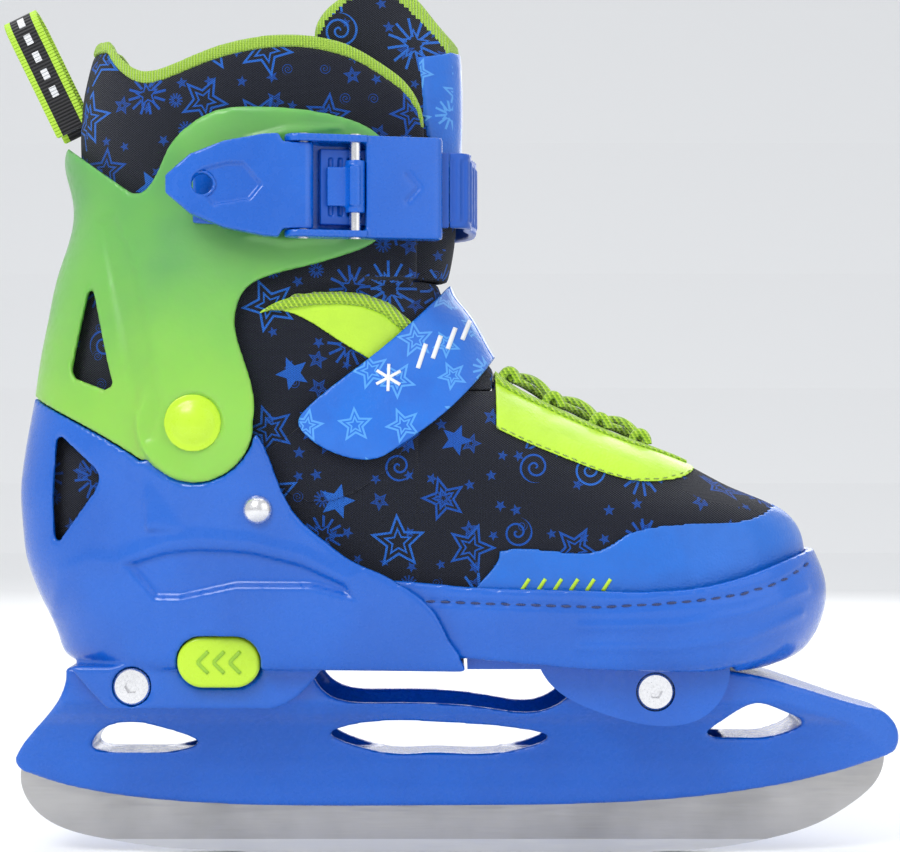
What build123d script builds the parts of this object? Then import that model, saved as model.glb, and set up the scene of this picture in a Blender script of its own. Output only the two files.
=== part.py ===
"""Child's size-adjustable ice skate (right foot), in millimetres.

+X points to the toe, +Y to the inner side of the foot and +Z up. The origin is on
the running edge of the blade, at the middle of its length.
"""
from build123d import *
from functools import lru_cache
import math
import os

# ---------------------------------------------------------------- driving dimensions
BLADE_THICKNESS = 3.5
BLADE_FLAT_HALF = 65.0          # half the straight stretch of the running edge
SLOT_CLEARANCE = 0.05           # blade to holder, all round
HOLDER_TOP = 61.8
HOLDER_WALL = 3.0
TOWER_HALF = 22.3               # half width of the holder where the shells straddle it
LUG_HALF = 27.5                 # outer half width of the shells' lugs
SHELL_BOTTOM = 62.2
FLOOR_TOP = 65.5                # top of the heel shell's and sole plate's floor
SHELL_WALL = 2.8
TOE_INSET = 3.5                 # toe shell nests this far inside the heel shell's outside
TOE_FLOOR_TOP = 68.6
SIZE_STEPS = 3
SIZE_PITCH = 20.0 / 3

PIVOT = (-79.0, 139.1)          # ankle hinge, X and Z
LOBE_RADIUS = 18.4              # cuff's round lobe about the pivot
LOBE_GAP = 0.5
TAB_INNER, TAB_OUTER = 34.6, 36.8
LOBE_INNER, LOBE_OUTER = 37.0, 40.0
CAP_SEAT = 41.0                 # depth of the flat that each pivot cap sits on
PIVOT_BORE = 4.0
CAP_RADIUS = 8.85
RUNNING_FIT = 0.05

BOLT_SHANK = 3.0
BOLT_HEAD = 5.75
BOLT_RECESS = 6.15
BOLT_SEAT = 24.0                # depth of the head's seat, from the middle plane
REAR_BOLT = (-99.8, 56.4)
FRONT_BOLT = (64.4, 54.8)
HEX_KEY = 4.0

LINER_THICK = 4.2
VAMP_THICK = 2.4
STRETCH_FROM, STRETCH_TO = -9.0, 14.0
QUARTER_TOP, COLLAR_BOTTOM = 149.0, 184.5
COLLAR_FRONT, FLEX_FRONT = -10.5, 202.5

BUCKLE_PIN = (-44.6, -49.0)     # lever pin, X and Y
BUCKLE_Z = 211.0
BUCKLE_TILT = 15.0              # degrees that the strap side turns in round the shin
PANEL_GAP = 0.4                 # between soft pieces that ride on different bodies

# Each table row is one level section: height, rear X, front X, half width, and how far
# its plan is from a foot print (0) towards an oval leg (1).
SHELL = (
    (58.0, -121.5, 104.0, 38.0, 0.0), (64.0, -123.5, 114.5, 43.5, 0.0),
    (69.5, -126.5, 120.7, 45.2, 0.0), (75.0, -128.5, 123.5, 46.2, 0.0),
    (82.0, -132.0, 125.2, 47.0, 0.0), (89.0, -135.0, 124.9, 47.3, 0.0),
    (95.0, -137.0, 122.8, 47.3, 0.0), (104.0, -138.2, 118.0, 47.3, 0.1),
    (113.0, -138.9, 109.0, 47.2, 0.25), (125.0, -138.1, 81.0, 47.0, 0.5),
    (139.0, -135.6, 50.0, 46.5, 0.75), (150.0, -133.5, 31.0, 45.7, 0.9),
    (160.0, -132.0, 21.0, 45.0, 1.0), (171.0, -129.8, 15.0, 44.2, 1.0),
    (187.0, -126.3, 12.0, 43.2, 1.0), (195.0, -123.6, 12.0, 42.8, 1.0),
    (204.0, -121.5, 12.0, 42.6, 1.0), (212.0, -122.0, 12.0, 42.6, 1.0),
    (227.0, -123.5, 12.0, 42.8, 1.0), (240.0, -124.2, 12.0, 43.0, 1.0))
SOFT = (
    (69.0, -115.0, 101.0, 33.5, 0.0), (74.0, -120.5, 109.0, 36.5, 0.0),
    (84.0, -125.5, 113.6, 38.2, 0.0), (98.0, -130.5, 113.6, 38.6, 0.0),
    (106.0, -132.0, 111.3, 38.8, 0.1), (112.0, -132.6, 105.0, 39.0, 0.2),
    (118.0, -132.6, 91.0, 39.2, 0.35), (124.0, -132.0, 79.5, 39.3, 0.5),
    (131.0, -130.6, 64.0, 39.3, 0.65), (137.0, -129.2, 48.5, 39.3, 0.75),
    (144.0, -128.0, 33.0, 39.2, 0.85), (150.0, -127.2, 21.0, 39.0, 0.9),
    (158.0, -126.2, 11.5, 38.8, 1.0), (166.0, -124.4, 6.5, 38.6, 1.0),
    (175.0, -122.4, 1.0, 38.3, 1.0), (184.0, -120.6, -4.0, 37.8, 1.0))
COLLAR = (
    (184.0, -120.6, 8.0, 37.8, 1.0), (200.0, -117.6, 8.0, 37.2, 1.0),
    (215.0, -118.0, 8.0, 37.4, 1.0), (230.0, -118.8, 8.0, 37.8, 1.0),
    (245.0, -117.0, 8.0, 38.4, 1.0), (255.0, -115.0, 8.0, 38.6, 1.0),
    (264.0, -111.5, 8.0, 38.6, 1.0))
TONGUE = (
    (184.5, -105.0, -1.2, 28.0, 1.0), (193.0, -108.0, 0.6, 29.5, 1.0),
    (223.0, -112.0, 2.4, 31.0, 1.0), (250.0, -112.0, 2.6, 31.4, 1.0),
    (264.0, -112.0, 1.5, 31.4, 1.0), (278.0, -112.0, -1.5, 31.0, 1.0))

# Half width as a share of the widest, every 15 degrees from the heel to the toe.
FOOT_PLAN = (0.0, 0.30, 0.55, 0.70, 0.78, 0.83, 0.90, 0.975, 1.0, 0.92, 0.71, 0.37, 0.0)
LEG_PLAN = (0.0, 0.31, 0.55, 0.745, 0.885, 0.97, 1.0, 0.97, 0.885, 0.745, 0.55, 0.31, 0.0)
PLAN_STEPS = len(FOOT_PLAN) - 1


# ---------------------------------------------------------------- geometry helpers
def plan_points(row, inset):
    """Points of one level section, anticlockwise from the heel."""
    height, rear, front, half, leg = row
    rear, front, half = rear + inset, front - inset, half - inset
    side = []
    for step in range(PLAN_STEPS + 1):
        share = (1 - math.cos(math.pi * step / PLAN_STEPS)) / 2
        width = (1 - leg) * FOOT_PLAN[step] + leg * LEG_PLAN[step]
        side.append((rear + share * (front - rear), -half * width, height))
    other = [(x, -y, z) for x, y, z in reversed(side[1:-1])]
    return side + other


@lru_cache(maxsize=None)
def boot_body(table, inset=0.0):
    """Solid boot form through the table's sections, drawn in by inset."""
    rings = [Wire(Spline(*plan_points(row, inset), periodic=True)) for row in table]
    return Solid.make_loft(rings)


def row_at(table, height):
    """One section of a table at any height, between its rows."""
    for low, high in zip(table, table[1:]):
        if low[0] <= height <= high[0]:
            share = (height - low[0]) / (high[0] - low[0])
            return tuple(a + share * (b - a) for a, b in zip(low, high))
    raise ValueError("height outside the table")


def half_at(table, x, height, inset=0.0):
    """Half width of the boot form at one X and height."""
    side = plan_points(row_at(table, height), inset)[:PLAN_STEPS + 1]
    for low, high in zip(side, side[1:]):
        if low[0] <= x <= high[0]:
            share = (x - low[0]) / (high[0] - low[0])
            return -(low[1] + share * (high[1] - low[1]))
    raise ValueError("X outside the section")


def face_reach(table, x, z, radius, inset=0.0):
    """Furthest that the boot form stands out along Y within a round spot."""
    core = boot_body(table, inset) & pin_y(x, z, radius, -60, 0)
    return -core.bounding_box().min.Y


def side_prism(runs, low_y, high_y):
    """Prism along Y over a side outline. Two points make a line, more make a spline."""
    edges = []
    for run in runs:
        points = [(x, low_y, z) for x, z in run]
        edges.append(Line(*points) if len(points) == 2 else Spline(*points))
    return extrude(Face(Wire(edges)), amount=high_y - low_y, dir=(0, 1, 0))


def side_polygon(points, low_y, high_y):
    """Prism along Y over a straight-sided outline."""
    ring = Polyline(*[(x, low_y, z) for x, z in points], close=True)
    return extrude(Face(Wire(ring.edges())), amount=high_y - low_y, dir=(0, 1, 0))


def side_blob(points, low_y, high_y):
    """Prism along Y over one smooth closed outline."""
    ring = Spline(*[(x, low_y, z) for x, z in points], periodic=True)
    return extrude(Face(Wire([ring])), amount=high_y - low_y, dir=(0, 1, 0))


def box(x0, x1, y0, y1, z0, z1):
    """Box between two corners."""
    return Pos((x0 + x1) / 2, (y0 + y1) / 2, (z0 + z1) / 2) * Box(x1 - x0, y1 - y0, z1 - z0)


def pin_y(x, z, radius, low_y, high_y):
    """Round pin along Y."""
    turn = Rot(90, 0, 0)
    return Pos(x, (low_y + high_y) / 2, z) * turn * Cylinder(radius, high_y - low_y)


def hexagon_y(x, z, across, low_y, high_y):
    """Hexagonal bar along Y."""
    corner = across / math.sqrt(3)
    points = []
    for step in range(6):
        angle = math.radians(60 * step)
        points.append((x + corner * math.cos(angle), z + corner * math.sin(angle)))
    return side_polygon(points, low_y, high_y)


def layer(table, profile, outer, inner):
    """Skin of a boot form between two insets, within a side profile."""
    return (boot_body(table, outer) & profile) - boot_body(table, inner)


def solids_of(shape):
    """Solids of a shape, largest first, without stray slivers."""
    kept = [solid for solid in shape.solids() if solid.volume > 0.5]
    return sorted(kept, key=lambda solid: -solid.volume)


def save(name, shape):
    """Write one node."""
    solids = solids_of(shape)
    export_step(solids[0] if len(solids) == 1 else Compound(solids), f"parts/{name}.step")


# ---------------------------------------------------------------- blade and holder
BLADE_RUNS = [
    [(-139.0, 27.0), (-138.8, 21.2), (-133.9, 13.1), (-112.9, 4.5), (-89.0, 1.2),
     (-BLADE_FLAT_HALF, 0.0)],
    [(-BLADE_FLAT_HALF, 0.0), (BLADE_FLAT_HALF, 0.0)],
    [(BLADE_FLAT_HALF, 0.0), (86.1, 1.4), (105.5, 4.9), (120.2, 9.8), (129.9, 15.6),
     (137.7, 22.5), (140.8, 31.5)],
    [(140.8, 31.5), (137.0, 37.6)],
    [(137.0, 37.6), (110.0, 30.0), (70.0, 26.0), (0.0, 24.0), (-70.0, 24.5),
     (-110.0, 27.5), (-133.0, 32.5)],
    [(-133.0, 32.5), (-139.0, 27.0)]]


def make_blade():
    """Steel runner, its upper part seated in the holder's slot."""
    half = BLADE_THICKNESS / 2
    return side_prism(BLADE_RUNS, -half, half)


def blade_slot():
    """Room for the blade in its holder."""
    half = BLADE_THICKNESS / 2 + SLOT_CLEARANCE
    wide = side_prism(BLADE_RUNS, -half, half)
    return wide + Pos(0, 0, SLOT_CLEARANCE) * wide


def make_blade_holder():
    """Hollow two-towered holder with three windows."""
    outline = [
        [(-137.0, 27.0), (-121.4, 21.9), (-97.7, 18.0), (-69.4, 16.1), (0.0, 15.7),
         (70.8, 17.8), (119.0, 25.5), (142.6, 33.2)],
        [(142.6, 33.2), (144.6, 37.7), (143.1, 42.5), (137.4, 47.3)],
        [(137.4, 47.3), (118.2, 53.0), (99.0, 58.8), (90.0, 60.4)],
        [(90.0, 60.4), (86.0, HOLDER_TOP)],
        [(86.0, HOLDER_TOP), (41.0, HOLDER_TOP)],
        [(41.0, HOLDER_TOP), (37.1, 52.5), (29.0, 47.9), (12.6, 48.7), (-21.7, 50.6),
         (-38.0, 53.0), (-44.0, HOLDER_TOP)],
        [(-44.0, HOLDER_TOP), (-121.5, HOLDER_TOP)],
        [(-121.5, HOLDER_TOP), (-121.8, 55.9), (-126.1, 48.4), (-134.6, 39.0),
         (-139.2, 32.4)],
        [(-139.2, 32.4), (-139.6, 30.0), (-137.0, 27.0)]]
    section = [(6.5, 10.0), (6.6, 16.0), (7.2, 22.0), (8.8, 30.0), (11.2, 37.0),
               (14.5, 43.0), (19.0, 47.0), (TOWER_HALF, 51.0), (TOWER_HALF, 66.0)]
    plan = [(-141.0, 8.5), (-134.0, 12.5), (-120.0, 24.0), (100.0, 24.0), (120.0, 18.0),
            (134.0, 12.5), (146.0, 7.0)]
    hollow = [(6.4, 33.4), (8.6, 37.5), (11.6, 43.0), (16.0, 47.2),
              (TOWER_HALF - HOLDER_WALL, 52.0), (TOWER_HALF - HOLDER_WALL, 70.0)]

    body = side_prism(outline, -30, 30)
    body = body & cross_prism(section, -150, 150)
    body = body & plan_prism(plan, 0, 80)
    body = body - cross_prism(hollow, -112, 88)
    for window in holder_windows():
        body = body - window
    body = body - blade_slot()
    for x, z in (REAR_BOLT, FRONT_BOLT):
        body = body - pin_y(x, z, BOLT_SHANK + RUNNING_FIT, -30, 30)
    return body


def cross_prism(side, low_x, high_x):
    """Prism along X over a symmetrical cross section given as (half width, height)."""
    points = [(y, z) for y, z in side] + [(-y, z) for y, z in reversed(side)]
    ring = Polyline(*[(low_x, y, z) for y, z in points], close=True)
    return extrude(Face(Wire(ring.edges())), amount=high_x - low_x, dir=(1, 0, 0))


def plan_prism(side, low_z, high_z):
    """Prism along Z over a symmetrical plan given as (X, half width)."""
    points = [(x, y) for x, y in side] + [(x, -y) for x, y in reversed(side)]
    ring = Polyline(*[(x, y, low_z) for x, y in points], close=True)
    return extrude(Face(Wire(ring.edges())), amount=high_z - low_z, dir=(0, 0, 1))


def holder_windows():
    """Three openings through the holder's sides."""
    rear = [(-115.0, 36.0), (-110.3, 41.7), (-101.0, 43.7), (-91.6, 41.7), (-80.8, 36.4),
            (-88.0, 33.9), (-101.0, 33.4), (-111.5, 33.8)]
    middle = [(-37.5, 40.9), (-26.7, 43.6), (3.1, 43.3), (22.4, 41.4), (31.5, 38.5),
              (24.0, 34.9), (-6.4, 33.2), (-27.0, 34.6)]
    front = [(82.1, 40.4), (89.4, 46.6), (96.0, 50.4), (106.0, 47.6), (112.5, 43.4),
             (106.0, 39.6), (93.0, 38.3)]
    return [side_blob(points, -30, 30) for points in (rear, middle, front)]


# ---------------------------------------------------------------- rigid shells
CUFF_LOW = [(-136.0, 148.9), (-119.0, 140.7), (-107.5, 134.9), (-96.5, 128.4),
            (-88.0, 123.1)]


def cuff_profile():
    """Side outline of the hinged cuff."""
    px, pz = PIVOT
    start = (-88.0, 123.1)
    bottom = (px + 2.0, pz - math.sqrt(LOBE_RADIUS ** 2 - 4))
    corner = (px + LOBE_RADIUS * math.cos(math.radians(-42)),
              pz + LOBE_RADIUS * math.sin(math.radians(-42)))
    front = (px + LOBE_RADIUS, pz + 0.6)
    edge = [front, (-61.2, 151.8), (-64.5, 162.0), (-66.1, 169.0), (-65.5, 175.0),
            (-62.5, 180.6), (-56.0, 184.2), (-44.0, 187.4), (-31.0, 191.4),
            (-22.9, 195.6), (-18.9, 202.0), (-17.8, 213.0), (-18.6, 223.6)]
    top = [(-18.6, 223.6), (-25.6, 230.3), (-34.6, 233.4), (-48.2, 235.5),
           (-61.6, 236.1), (-72.0, 235.0), (-80.5, 230.6), (-86.5, 224.4),
           (-91.0, 215.4), (-95.4, 210.4)]
    runs = [
        CUFF_LOW,
        [start, (px - 3.6, pz - 18.05), bottom, corner, front],
        edge, top,
        [(-95.4, 210.4), (-99.0, 210.4)],
        [(-99.0, 210.4), (-108.0, 216.6), (-126.0, 229.6)],
        [(-126.0, 229.6), (-150.0, 229.6)],
        [(-150.0, 229.6), (-150.0, 148.9)],
        [(-150.0, 148.9), (-136.0, 148.9)]]
    return side_prism(runs, -60, 60)


def make_cuff():
    """Ankle cuff, with a flat round lobe at each pivot."""
    px, pz = PIVOT
    cuff = layer(SHELL, cuff_profile(), 0.0, SHELL_WALL)
    for side in (-1, 1):
        low, high = sorted((side * LOBE_INNER, side * LOBE_OUTER))
        cuff = cuff + pin_y(px, pz, LOBE_RADIUS - 0.8, low, high)
        spot_low, spot_high = sorted((side * CAP_SEAT, side * 60))
        cuff = cuff - pin_y(px, pz, CAP_RADIUS + 0.5, spot_low, spot_high)
    cuff = cuff - pin_y(px, pz, LOBE_RADIUS + 1.2, -LOBE_INNER, LOBE_INNER)
    cuff = cuff - pin_y(px, pz, PIVOT_BORE + RUNNING_FIT, -60, 60)
    window = [(-112.2, 184.6), (-105.7, 156.0), (-104.3, 150.8), (-107.0, 149.2),
              (-117.6, 153.0), (-118.6, 155.6), (-115.8, 169.0)]
    cuff = cuff - side_polygon(window, -60, 60)
    for x, z in BASE_RIVETS:
        cuff = cuff - pin_y(x, z, 2.05, -60, 0)
    cuff = cuff - pin_y(*ANCHOR_RIVET, 2.05, 0, 60)
    return solids_of(cuff)[0]


def heel_profile():
    """Side outline of the heel shell, just clear of the cuff's lower edge."""
    px, pz = PIVOT
    clear = LOBE_RADIUS + LOBE_GAP
    start = (-88.4, pz - math.sqrt(clear ** 2 - 9.4 ** 2))
    front = (px + clear + 0.2, pz - 2.6)
    corner = (px + clear * math.cos(math.radians(-42)),
              pz + clear * math.sin(math.radians(-42)))
    runs = [
        [(x, z - LOBE_GAP) for x, z in CUFF_LOW[:-1]] + [start],
        [start, (px, pz - clear), corner, front],
        [front, (-57.1, 132.1), (-52.0, 118.6), (-46.0, 109.0), (-38.0, 102.2),
         (-31.0, 97.0), (-21.2, 92.6), (-12.2, 87.4), (-5.4, 81.6), (-1.2, 74.0),
         (2.4, 68.4)],
        [(2.4, 68.4), (5.0, SHELL_BOTTOM)],
        [(5.0, SHELL_BOTTOM), (-150.0, SHELL_BOTTOM)],
        [(-150.0, SHELL_BOTTOM), (-150.0, 148.4)],
        [(-150.0, 148.4), (-136.0, 148.4)]]
    return side_prism(runs, -60, 60)


def lug_walls(points, drop_half):
    """Pair of side walls that straddle the holder."""
    walls = side_prism(points, -LUG_HALF, LUG_HALF)
    return walls - box(-150, 150, -drop_half, drop_half, 0, HOLDER_TOP + 0.1)


def bolt_room(bolt):
    """Bore and the two head recesses that a shell needs for its bolt."""
    x, z = bolt
    outer = pin_y(x, z, BOLT_RECESS, -40, -BOLT_SEAT)
    inner = pin_y(x, z, BOLT_RECESS, BOLT_SEAT, 40)
    return outer + inner + pin_y(x, z, BOLT_SHANK + RUNNING_FIT, -40, 40)


def make_heel_shell():
    """Heel cup with its floor, pivot tabs and the lug over the holder's rear tower."""
    px, pz = PIVOT
    profile = heel_profile()
    outer = boot_body(SHELL, 0.0)
    inner = boot_body(SHELL, SHELL_WALL) & box(-200, 200, -60, 60, FLOOR_TOP, 300)
    shell = (outer & profile) - inner
    lug = [
        [(-119.5, SHELL_BOTTOM + 0.6), (-113.4, 55.7), (-107.5, 49.4)],
        [(-107.5, 49.4), (-55.5, 49.4)],
        [(-55.5, 49.4), (-50.6, 51.4), (-44.5, 56.6), (-39.5, SHELL_BOTTOM + 0.6)],
        [(-39.5, SHELL_BOTTOM + 0.6), (-119.5, SHELL_BOTTOM + 0.6)]]
    shell = shell + lug_walls(lug, TOWER_HALF + 0.1) - bolt_room(REAR_BOLT)
    for side in (-1, 1):
        low, high = sorted((side * TAB_INNER, side * TAB_OUTER))
        tab = pin_y(px, pz, LOBE_RADIUS - 1.0, low, high)
        neck = box(px - 15, px + 15, low, high, 106, pz)
        shell = shell + (tab + neck)
        shell = shell - pin_y(px, pz, PIVOT_BORE, *sorted((side * 20, side * 60)))
    window = [(-122.2, 135.2), (-110.3, 124.8), (-109.1, 122.5), (-110.3, 118.4),
              (-123.0, 101.8), (-124.4, 101.8), (-125.0, 113.8), (-123.6, 134.0)]
    shell = shell - side_polygon(window, -60, 60)
    shell = shell - pin_y(*SHELL_RIVET, 2.05, -60, 60)
    bx, bz = BUTTON
    shell = shell - stadium_y(bx, bz, BUTTON_LONG + 0.5, BUTTON_HIGH + 0.5, -60, -24.5)
    shell = shell - box(bx - 4.6, bx + 4.6, -30, 11.6, LATCH_LOW - 0.2, FLOOR_TOP + 0.5)
    return solids_of(shell)[0]


def make_sole_plate():
    """Plate under the toe shell, with the lug over the holder's front tower."""
    plate = box(5.4, 88.0, -30, 30, SHELL_BOTTOM, FLOOR_TOP)
    plate = fillet(plate.edges().filter_by(Axis.Z).group_by(Axis.X)[-1], 14)
    lug = [
        [(28.0, SHELL_BOTTOM + 0.6), (33.2, 55.6), (38.5, 52.0), (46.4, 48.6),
         (59.5, 44.9), (69.9, 44.2), (77.5, 46.0), (83.0, 50.0), (87.0, 57.0),
         (87.6, SHELL_BOTTOM + 0.6)],
        [(87.6, SHELL_BOTTOM + 0.6), (28.0, SHELL_BOTTOM + 0.6)]]
    return plate + lug_walls(lug, TOWER_HALF + 0.1) - bolt_room(FRONT_BOLT)


def make_toe_shell():
    """Sliding toe shell, nested inside the heel shell at its rear."""
    rim = [(-44.0, 88.0), (-6.1, 89.6), (5.0, 88.6), (27.5, 88.0), (52.8, 87.3),
           (77.9, 88.6), (94.8, 92.7), (110.0, 97.4), (130.0, 98.6)]
    profile = side_prism([
        rim, [(130.0, 98.6), (130.0, 61.2)], [(130.0, 61.2), (90.0, 61.2)],
        [(90.0, 61.2), (40.0, 63.2)], [(40.0, 63.2), (5.0, 66.2)],
        [(5.0, 66.2), (-44.0, 66.2)], [(-44.0, 66.2), (-44.0, 88.0)]], -60, 60)
    outer = boot_body(SHELL, TOE_INSET) & profile
    inner = boot_body(SHELL, TOE_INSET + SHELL_WALL) & box(-200, 200, -60, 60,
                                                            TOE_FLOOR_TOP, 300)
    shell = outer - inner
    shell = shell - box(-60, 89.0, -30.6, 30.6, 50, FLOOR_TOP + 0.5)
    shell = shell - box(-60, 5.6, -60, 60, 50, FLOOR_TOP + 0.5)
    return shell - box(-60, RACK_FRONT, RACK_LOW_Y - 0.1, RACK_HIGH_Y + 0.1, 50, 80)


def make_pivot_rivet(side):
    """Domed cap and shank of one ankle pivot."""
    px, pz = PIVOT
    cap_face = side * (CAP_SEAT + RUNNING_FIT)
    shank = pin_y(px, pz, PIVOT_BORE, *sorted((side * (TAB_INNER + 0.01), cap_face)))
    rim = pin_y(px, pz, CAP_RADIUS, *sorted((cap_face, cap_face + side * 0.9)))
    dome = Pos(px, cap_face + side * 0.9, pz) * Sphere(14.0)
    dome = Pos(0, -side * 12.2, 0) * dome
    dome = dome & pin_y(px, pz, 8.2, *sorted((cap_face + side * 0.4, cap_face + side * 5)))
    return shank + rim + dome


def make_pivot_nut(side):
    """Flat flanged nut inside the heel shell's pivot tab."""
    px, pz = PIVOT
    face = side * TAB_INNER
    return pin_y(px, pz, 6.5, *sorted((face, face - side * 1.2)))


def make_bolt(x, z):
    """Socket head bolt along Y, head on the outer side of the foot."""
    shank = pin_y(x, z, BOLT_SHANK, -BOLT_SEAT, 26.4)
    head = pin_y(x, z, BOLT_HEAD, -27.2, -BOLT_SEAT)
    head = chamfer(head.edges().group_by(Axis.Y)[0], 0.5)
    return shank + head - hexagon_y(x, z, HEX_KEY, -28, -24.9)


def make_nut(x, z):
    """Hexagon nut in the recess on the inner side of the foot."""
    nut = hexagon_y(x, z, 10.0, BOLT_SEAT, 26.4)
    return nut - pin_y(x, z, BOLT_SHANK, 20, 30)


def make_sleeve(x, z):
    """Spacer tube that the bolt clamps between the holder's walls."""
    reach = TOWER_HALF - HOLDER_WALL - 2.4
    tube = pin_y(x, z, 4.5, -reach, reach)
    return tube - pin_y(x, z, BOLT_SHANK + RUNNING_FIT, -30, 30)


SHELL_RIVET = (-59.2, 112.4)


def make_shell_rivet(side):
    """Dome-headed rivet through the heel shell's side."""
    x, z = SHELL_RIVET
    face = face_reach(SHELL, x, z, 4.5) + 0.05
    dome = Pos(x, side * (face - 2.6), z) * Sphere(5.1)
    dome = dome & pin_y(x, z, 4.35, *sorted((side * face, side * (face + 3))))
    shank = pin_y(x, z, 2.0, *sorted((side * (face - 4.0), side * (face + 0.5))))
    return shank + dome


# ---------------------------------------------------------------- size latch
BUTTON = (-72.0, 64.6)
BUTTON_LONG, BUTTON_HIGH = 26.0, 16.0
LATCH_LOW, LATCH_HIGH = 61.9, 65.2
RACK_LOW_Y, RACK_HIGH_Y = -7.0, 2.8
RACK_REAR, RACK_FRONT = -100.0, 20.0
RACK_LOW_Z, RACK_HIGH_Z = 65.8, 68.4


def stadium_y(x, z, long, high, low_y, high_y):
    """Long rounded bar along Y, standing crosswise."""
    radius = high / 2
    reach = long / 2 - radius
    bar = pin_y(x - reach, z, radius, low_y, high_y) + pin_y(x + reach, z, radius, low_y, high_y)
    return bar + box(x - reach, x + reach, low_y, high_y, z - radius, z + radius)


def make_size_button():
    """Push button with the stem and the hook that catches the size rack."""
    x, z = BUTTON
    cap = stadium_y(x, z, BUTTON_LONG, BUTTON_HIGH, -32.6, -30.0)
    cap = fillet(cap.edges().group_by(Axis.Y)[0], 1.2)
    stem = box(x - 4.4, x + 4.4, -30.5, 8.0, LATCH_LOW, LATCH_HIGH)
    hook = box(x - 1.6, x + 1.6, RACK_HIGH_Y + 0.25, 8.0, LATCH_HIGH - 0.5, 68.2)
    return cap + stem + hook


def make_button_spring():
    """Coil spring envelope behind the button, as a thin sleeve."""
    x, _ = BUTTON
    tube = pin_y(x + 8.0, 60.0, 2.0, -29.9, -24.6)
    return tube - pin_y(x + 8.0, 60.0, 1.2, -40, 0)


def make_size_rack():
    """Notched bar that ties the toe shell to the size latch."""
    bar = box(RACK_REAR, RACK_FRONT - 0.1, RACK_LOW_Y, RACK_HIGH_Y, RACK_LOW_Z, RACK_HIGH_Z)
    for step in range(-1, SIZE_STEPS + 1):
        notch_x = BUTTON[0] - step * SIZE_PITCH
        bar = bar - box(notch_x - 2.0, notch_x + 2.0, 0.3, 3.0, 60, 70)
    return bar


# ---------------------------------------------------------------- soft boot
def make_liner_quarter():
    """Padded heel and ankle half of the soft boot, below the flexing zone."""
    profile = box(-150, STRETCH_FROM - PANEL_GAP, -60, 60, 69, QUARTER_TOP)
    outer = boot_body(SOFT, 0.0) & profile
    inner = boot_body(SOFT, LINER_THICK) & box(-200, 200, -60, 60, 72.2, 400)
    liner = outer - inner - pivot_room()
    rx, rz = SHELL_RIVET
    liner = liner - pin_y(rx, rz, 3.0, -60, -32) - pin_y(rx, rz, 3.0, 32, 60)
    return solids_of(liner)[0]


def pivot_room():
    """Hollows in the padding behind the pivot tabs and their nuts."""
    px, pz = PIVOT
    room = None
    for side in (-1, 1):
        tab = pin_y(px, pz, LOBE_RADIUS, *sorted((side * (TAB_INNER - 0.3), side * 60)))
        nut = pin_y(px, pz, 7.2, *sorted((side * (TAB_INNER - 1.5), side * 60)))
        neck = box(px - 15.4, px + 15.4, *sorted((side * (TAB_INNER - 0.3), side * 60)), 106, pz)
        tab = tab + neck
        room = tab + nut if room is None else room + tab + nut
    return room


def toe_region(low_x, high_x):
    """Slab of the soft boot between two X planes, under the instep line."""
    return box(low_x, high_x, -60, 60, 69, 182)


def make_vamp():
    """Woven fabric over the front of the foot."""
    outer = boot_body(SOFT, 0.0) & toe_region(STRETCH_TO, 130)
    inner = boot_body(SOFT, VAMP_THICK) & box(-200, 200, -60, 60, 71.6, 400)
    vamp = outer - inner
    return solids_of(vamp - throat_cut())[0]


def throat_cut():
    """Opening along the instep where the tongue shows between the eyestays."""
    plan = [(-30.0, 12.0), (20.0, 12.0), (58.0, 9.5), (70.0, 4.0)]
    return plan_prism(plan, 112, 190)


def make_stretch_panel():
    """Gusset between the quarter and the vamp that lengthens as the toe slides."""
    outer = boot_body(SOFT, 0.0) & toe_region(STRETCH_FROM, STRETCH_TO - PANEL_GAP)
    inner = boot_body(SOFT, VAMP_THICK) & box(-200, 200, -60, 60, 71.6, 400)
    panel = (outer - inner) & box(-200, 200, -60, 60, 69, QUARTER_TOP)
    return solids_of(panel)[0]


def make_liner_ankle():
    """Flexing zone of the liner between the shell and the cuff."""
    outer = boot_body(SOFT, 0.0) - boot_body(SOFT, LINER_THICK) - pivot_room()
    slab = box(-150, STRETCH_TO - PANEL_GAP, -60, 60, QUARTER_TOP + PANEL_GAP, COLLAR_BOTTOM - PANEL_GAP - 0.2)
    return solids_of(outer & slab)[0]


def rim_line(lift):
    """Top edge of the collar, seen from the side."""
    points = [(-9.0, 226.0), (-9.6, 234.4), (-13.9, 241.5), (-21.3, 247.0), (-30.2, 251.9),
              (-39.3, 254.4), (-48.4, 255.3), (-62.0, 254.2), (-75.6, 250.8),
              (-88.2, 246.2), (-95.4, 245.2), (-102.0, 248.6), (-108.0, 256.6)]
    return [(x, z + lift) for x, z in points]


def collar_profile(lift):
    """Side outline of the collar up to its rim, raised by lift."""
    rim = rim_line(lift)
    last = rim[-1]
    return side_prism([
        rim, [last, (-130.0, last[1] + 2.0)], [(-130.0, last[1] + 2.0), (-130.0, COLLAR_BOTTOM)],
        [(-130.0, COLLAR_BOTTOM), (-62.0, COLLAR_BOTTOM)],
        [(-62.0, COLLAR_BOTTOM), (COLLAR_FRONT, FLEX_FRONT)],
        [(COLLAR_FRONT, FLEX_FRONT), rim[0]]], -60, 60)


def make_ankle_gusset():
    """Flexing lower front corners of the collar, below its slanting edge."""
    corner = [(-61.0, COLLAR_BOTTOM - 0.1), (COLLAR_FRONT, COLLAR_BOTTOM - 0.1),
              (COLLAR_FRONT, FLEX_FRONT - PANEL_GAP)]
    return layer(COLLAR, side_polygon(corner, -60, 60), 0.0, 4.4)


def make_liner_collar():
    """Padded collar of the soft boot, open at the front for the tongue."""
    collar = layer(COLLAR, collar_profile(0.0), 0.0, 5.4)
    return solids_of(collar)[0]


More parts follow.
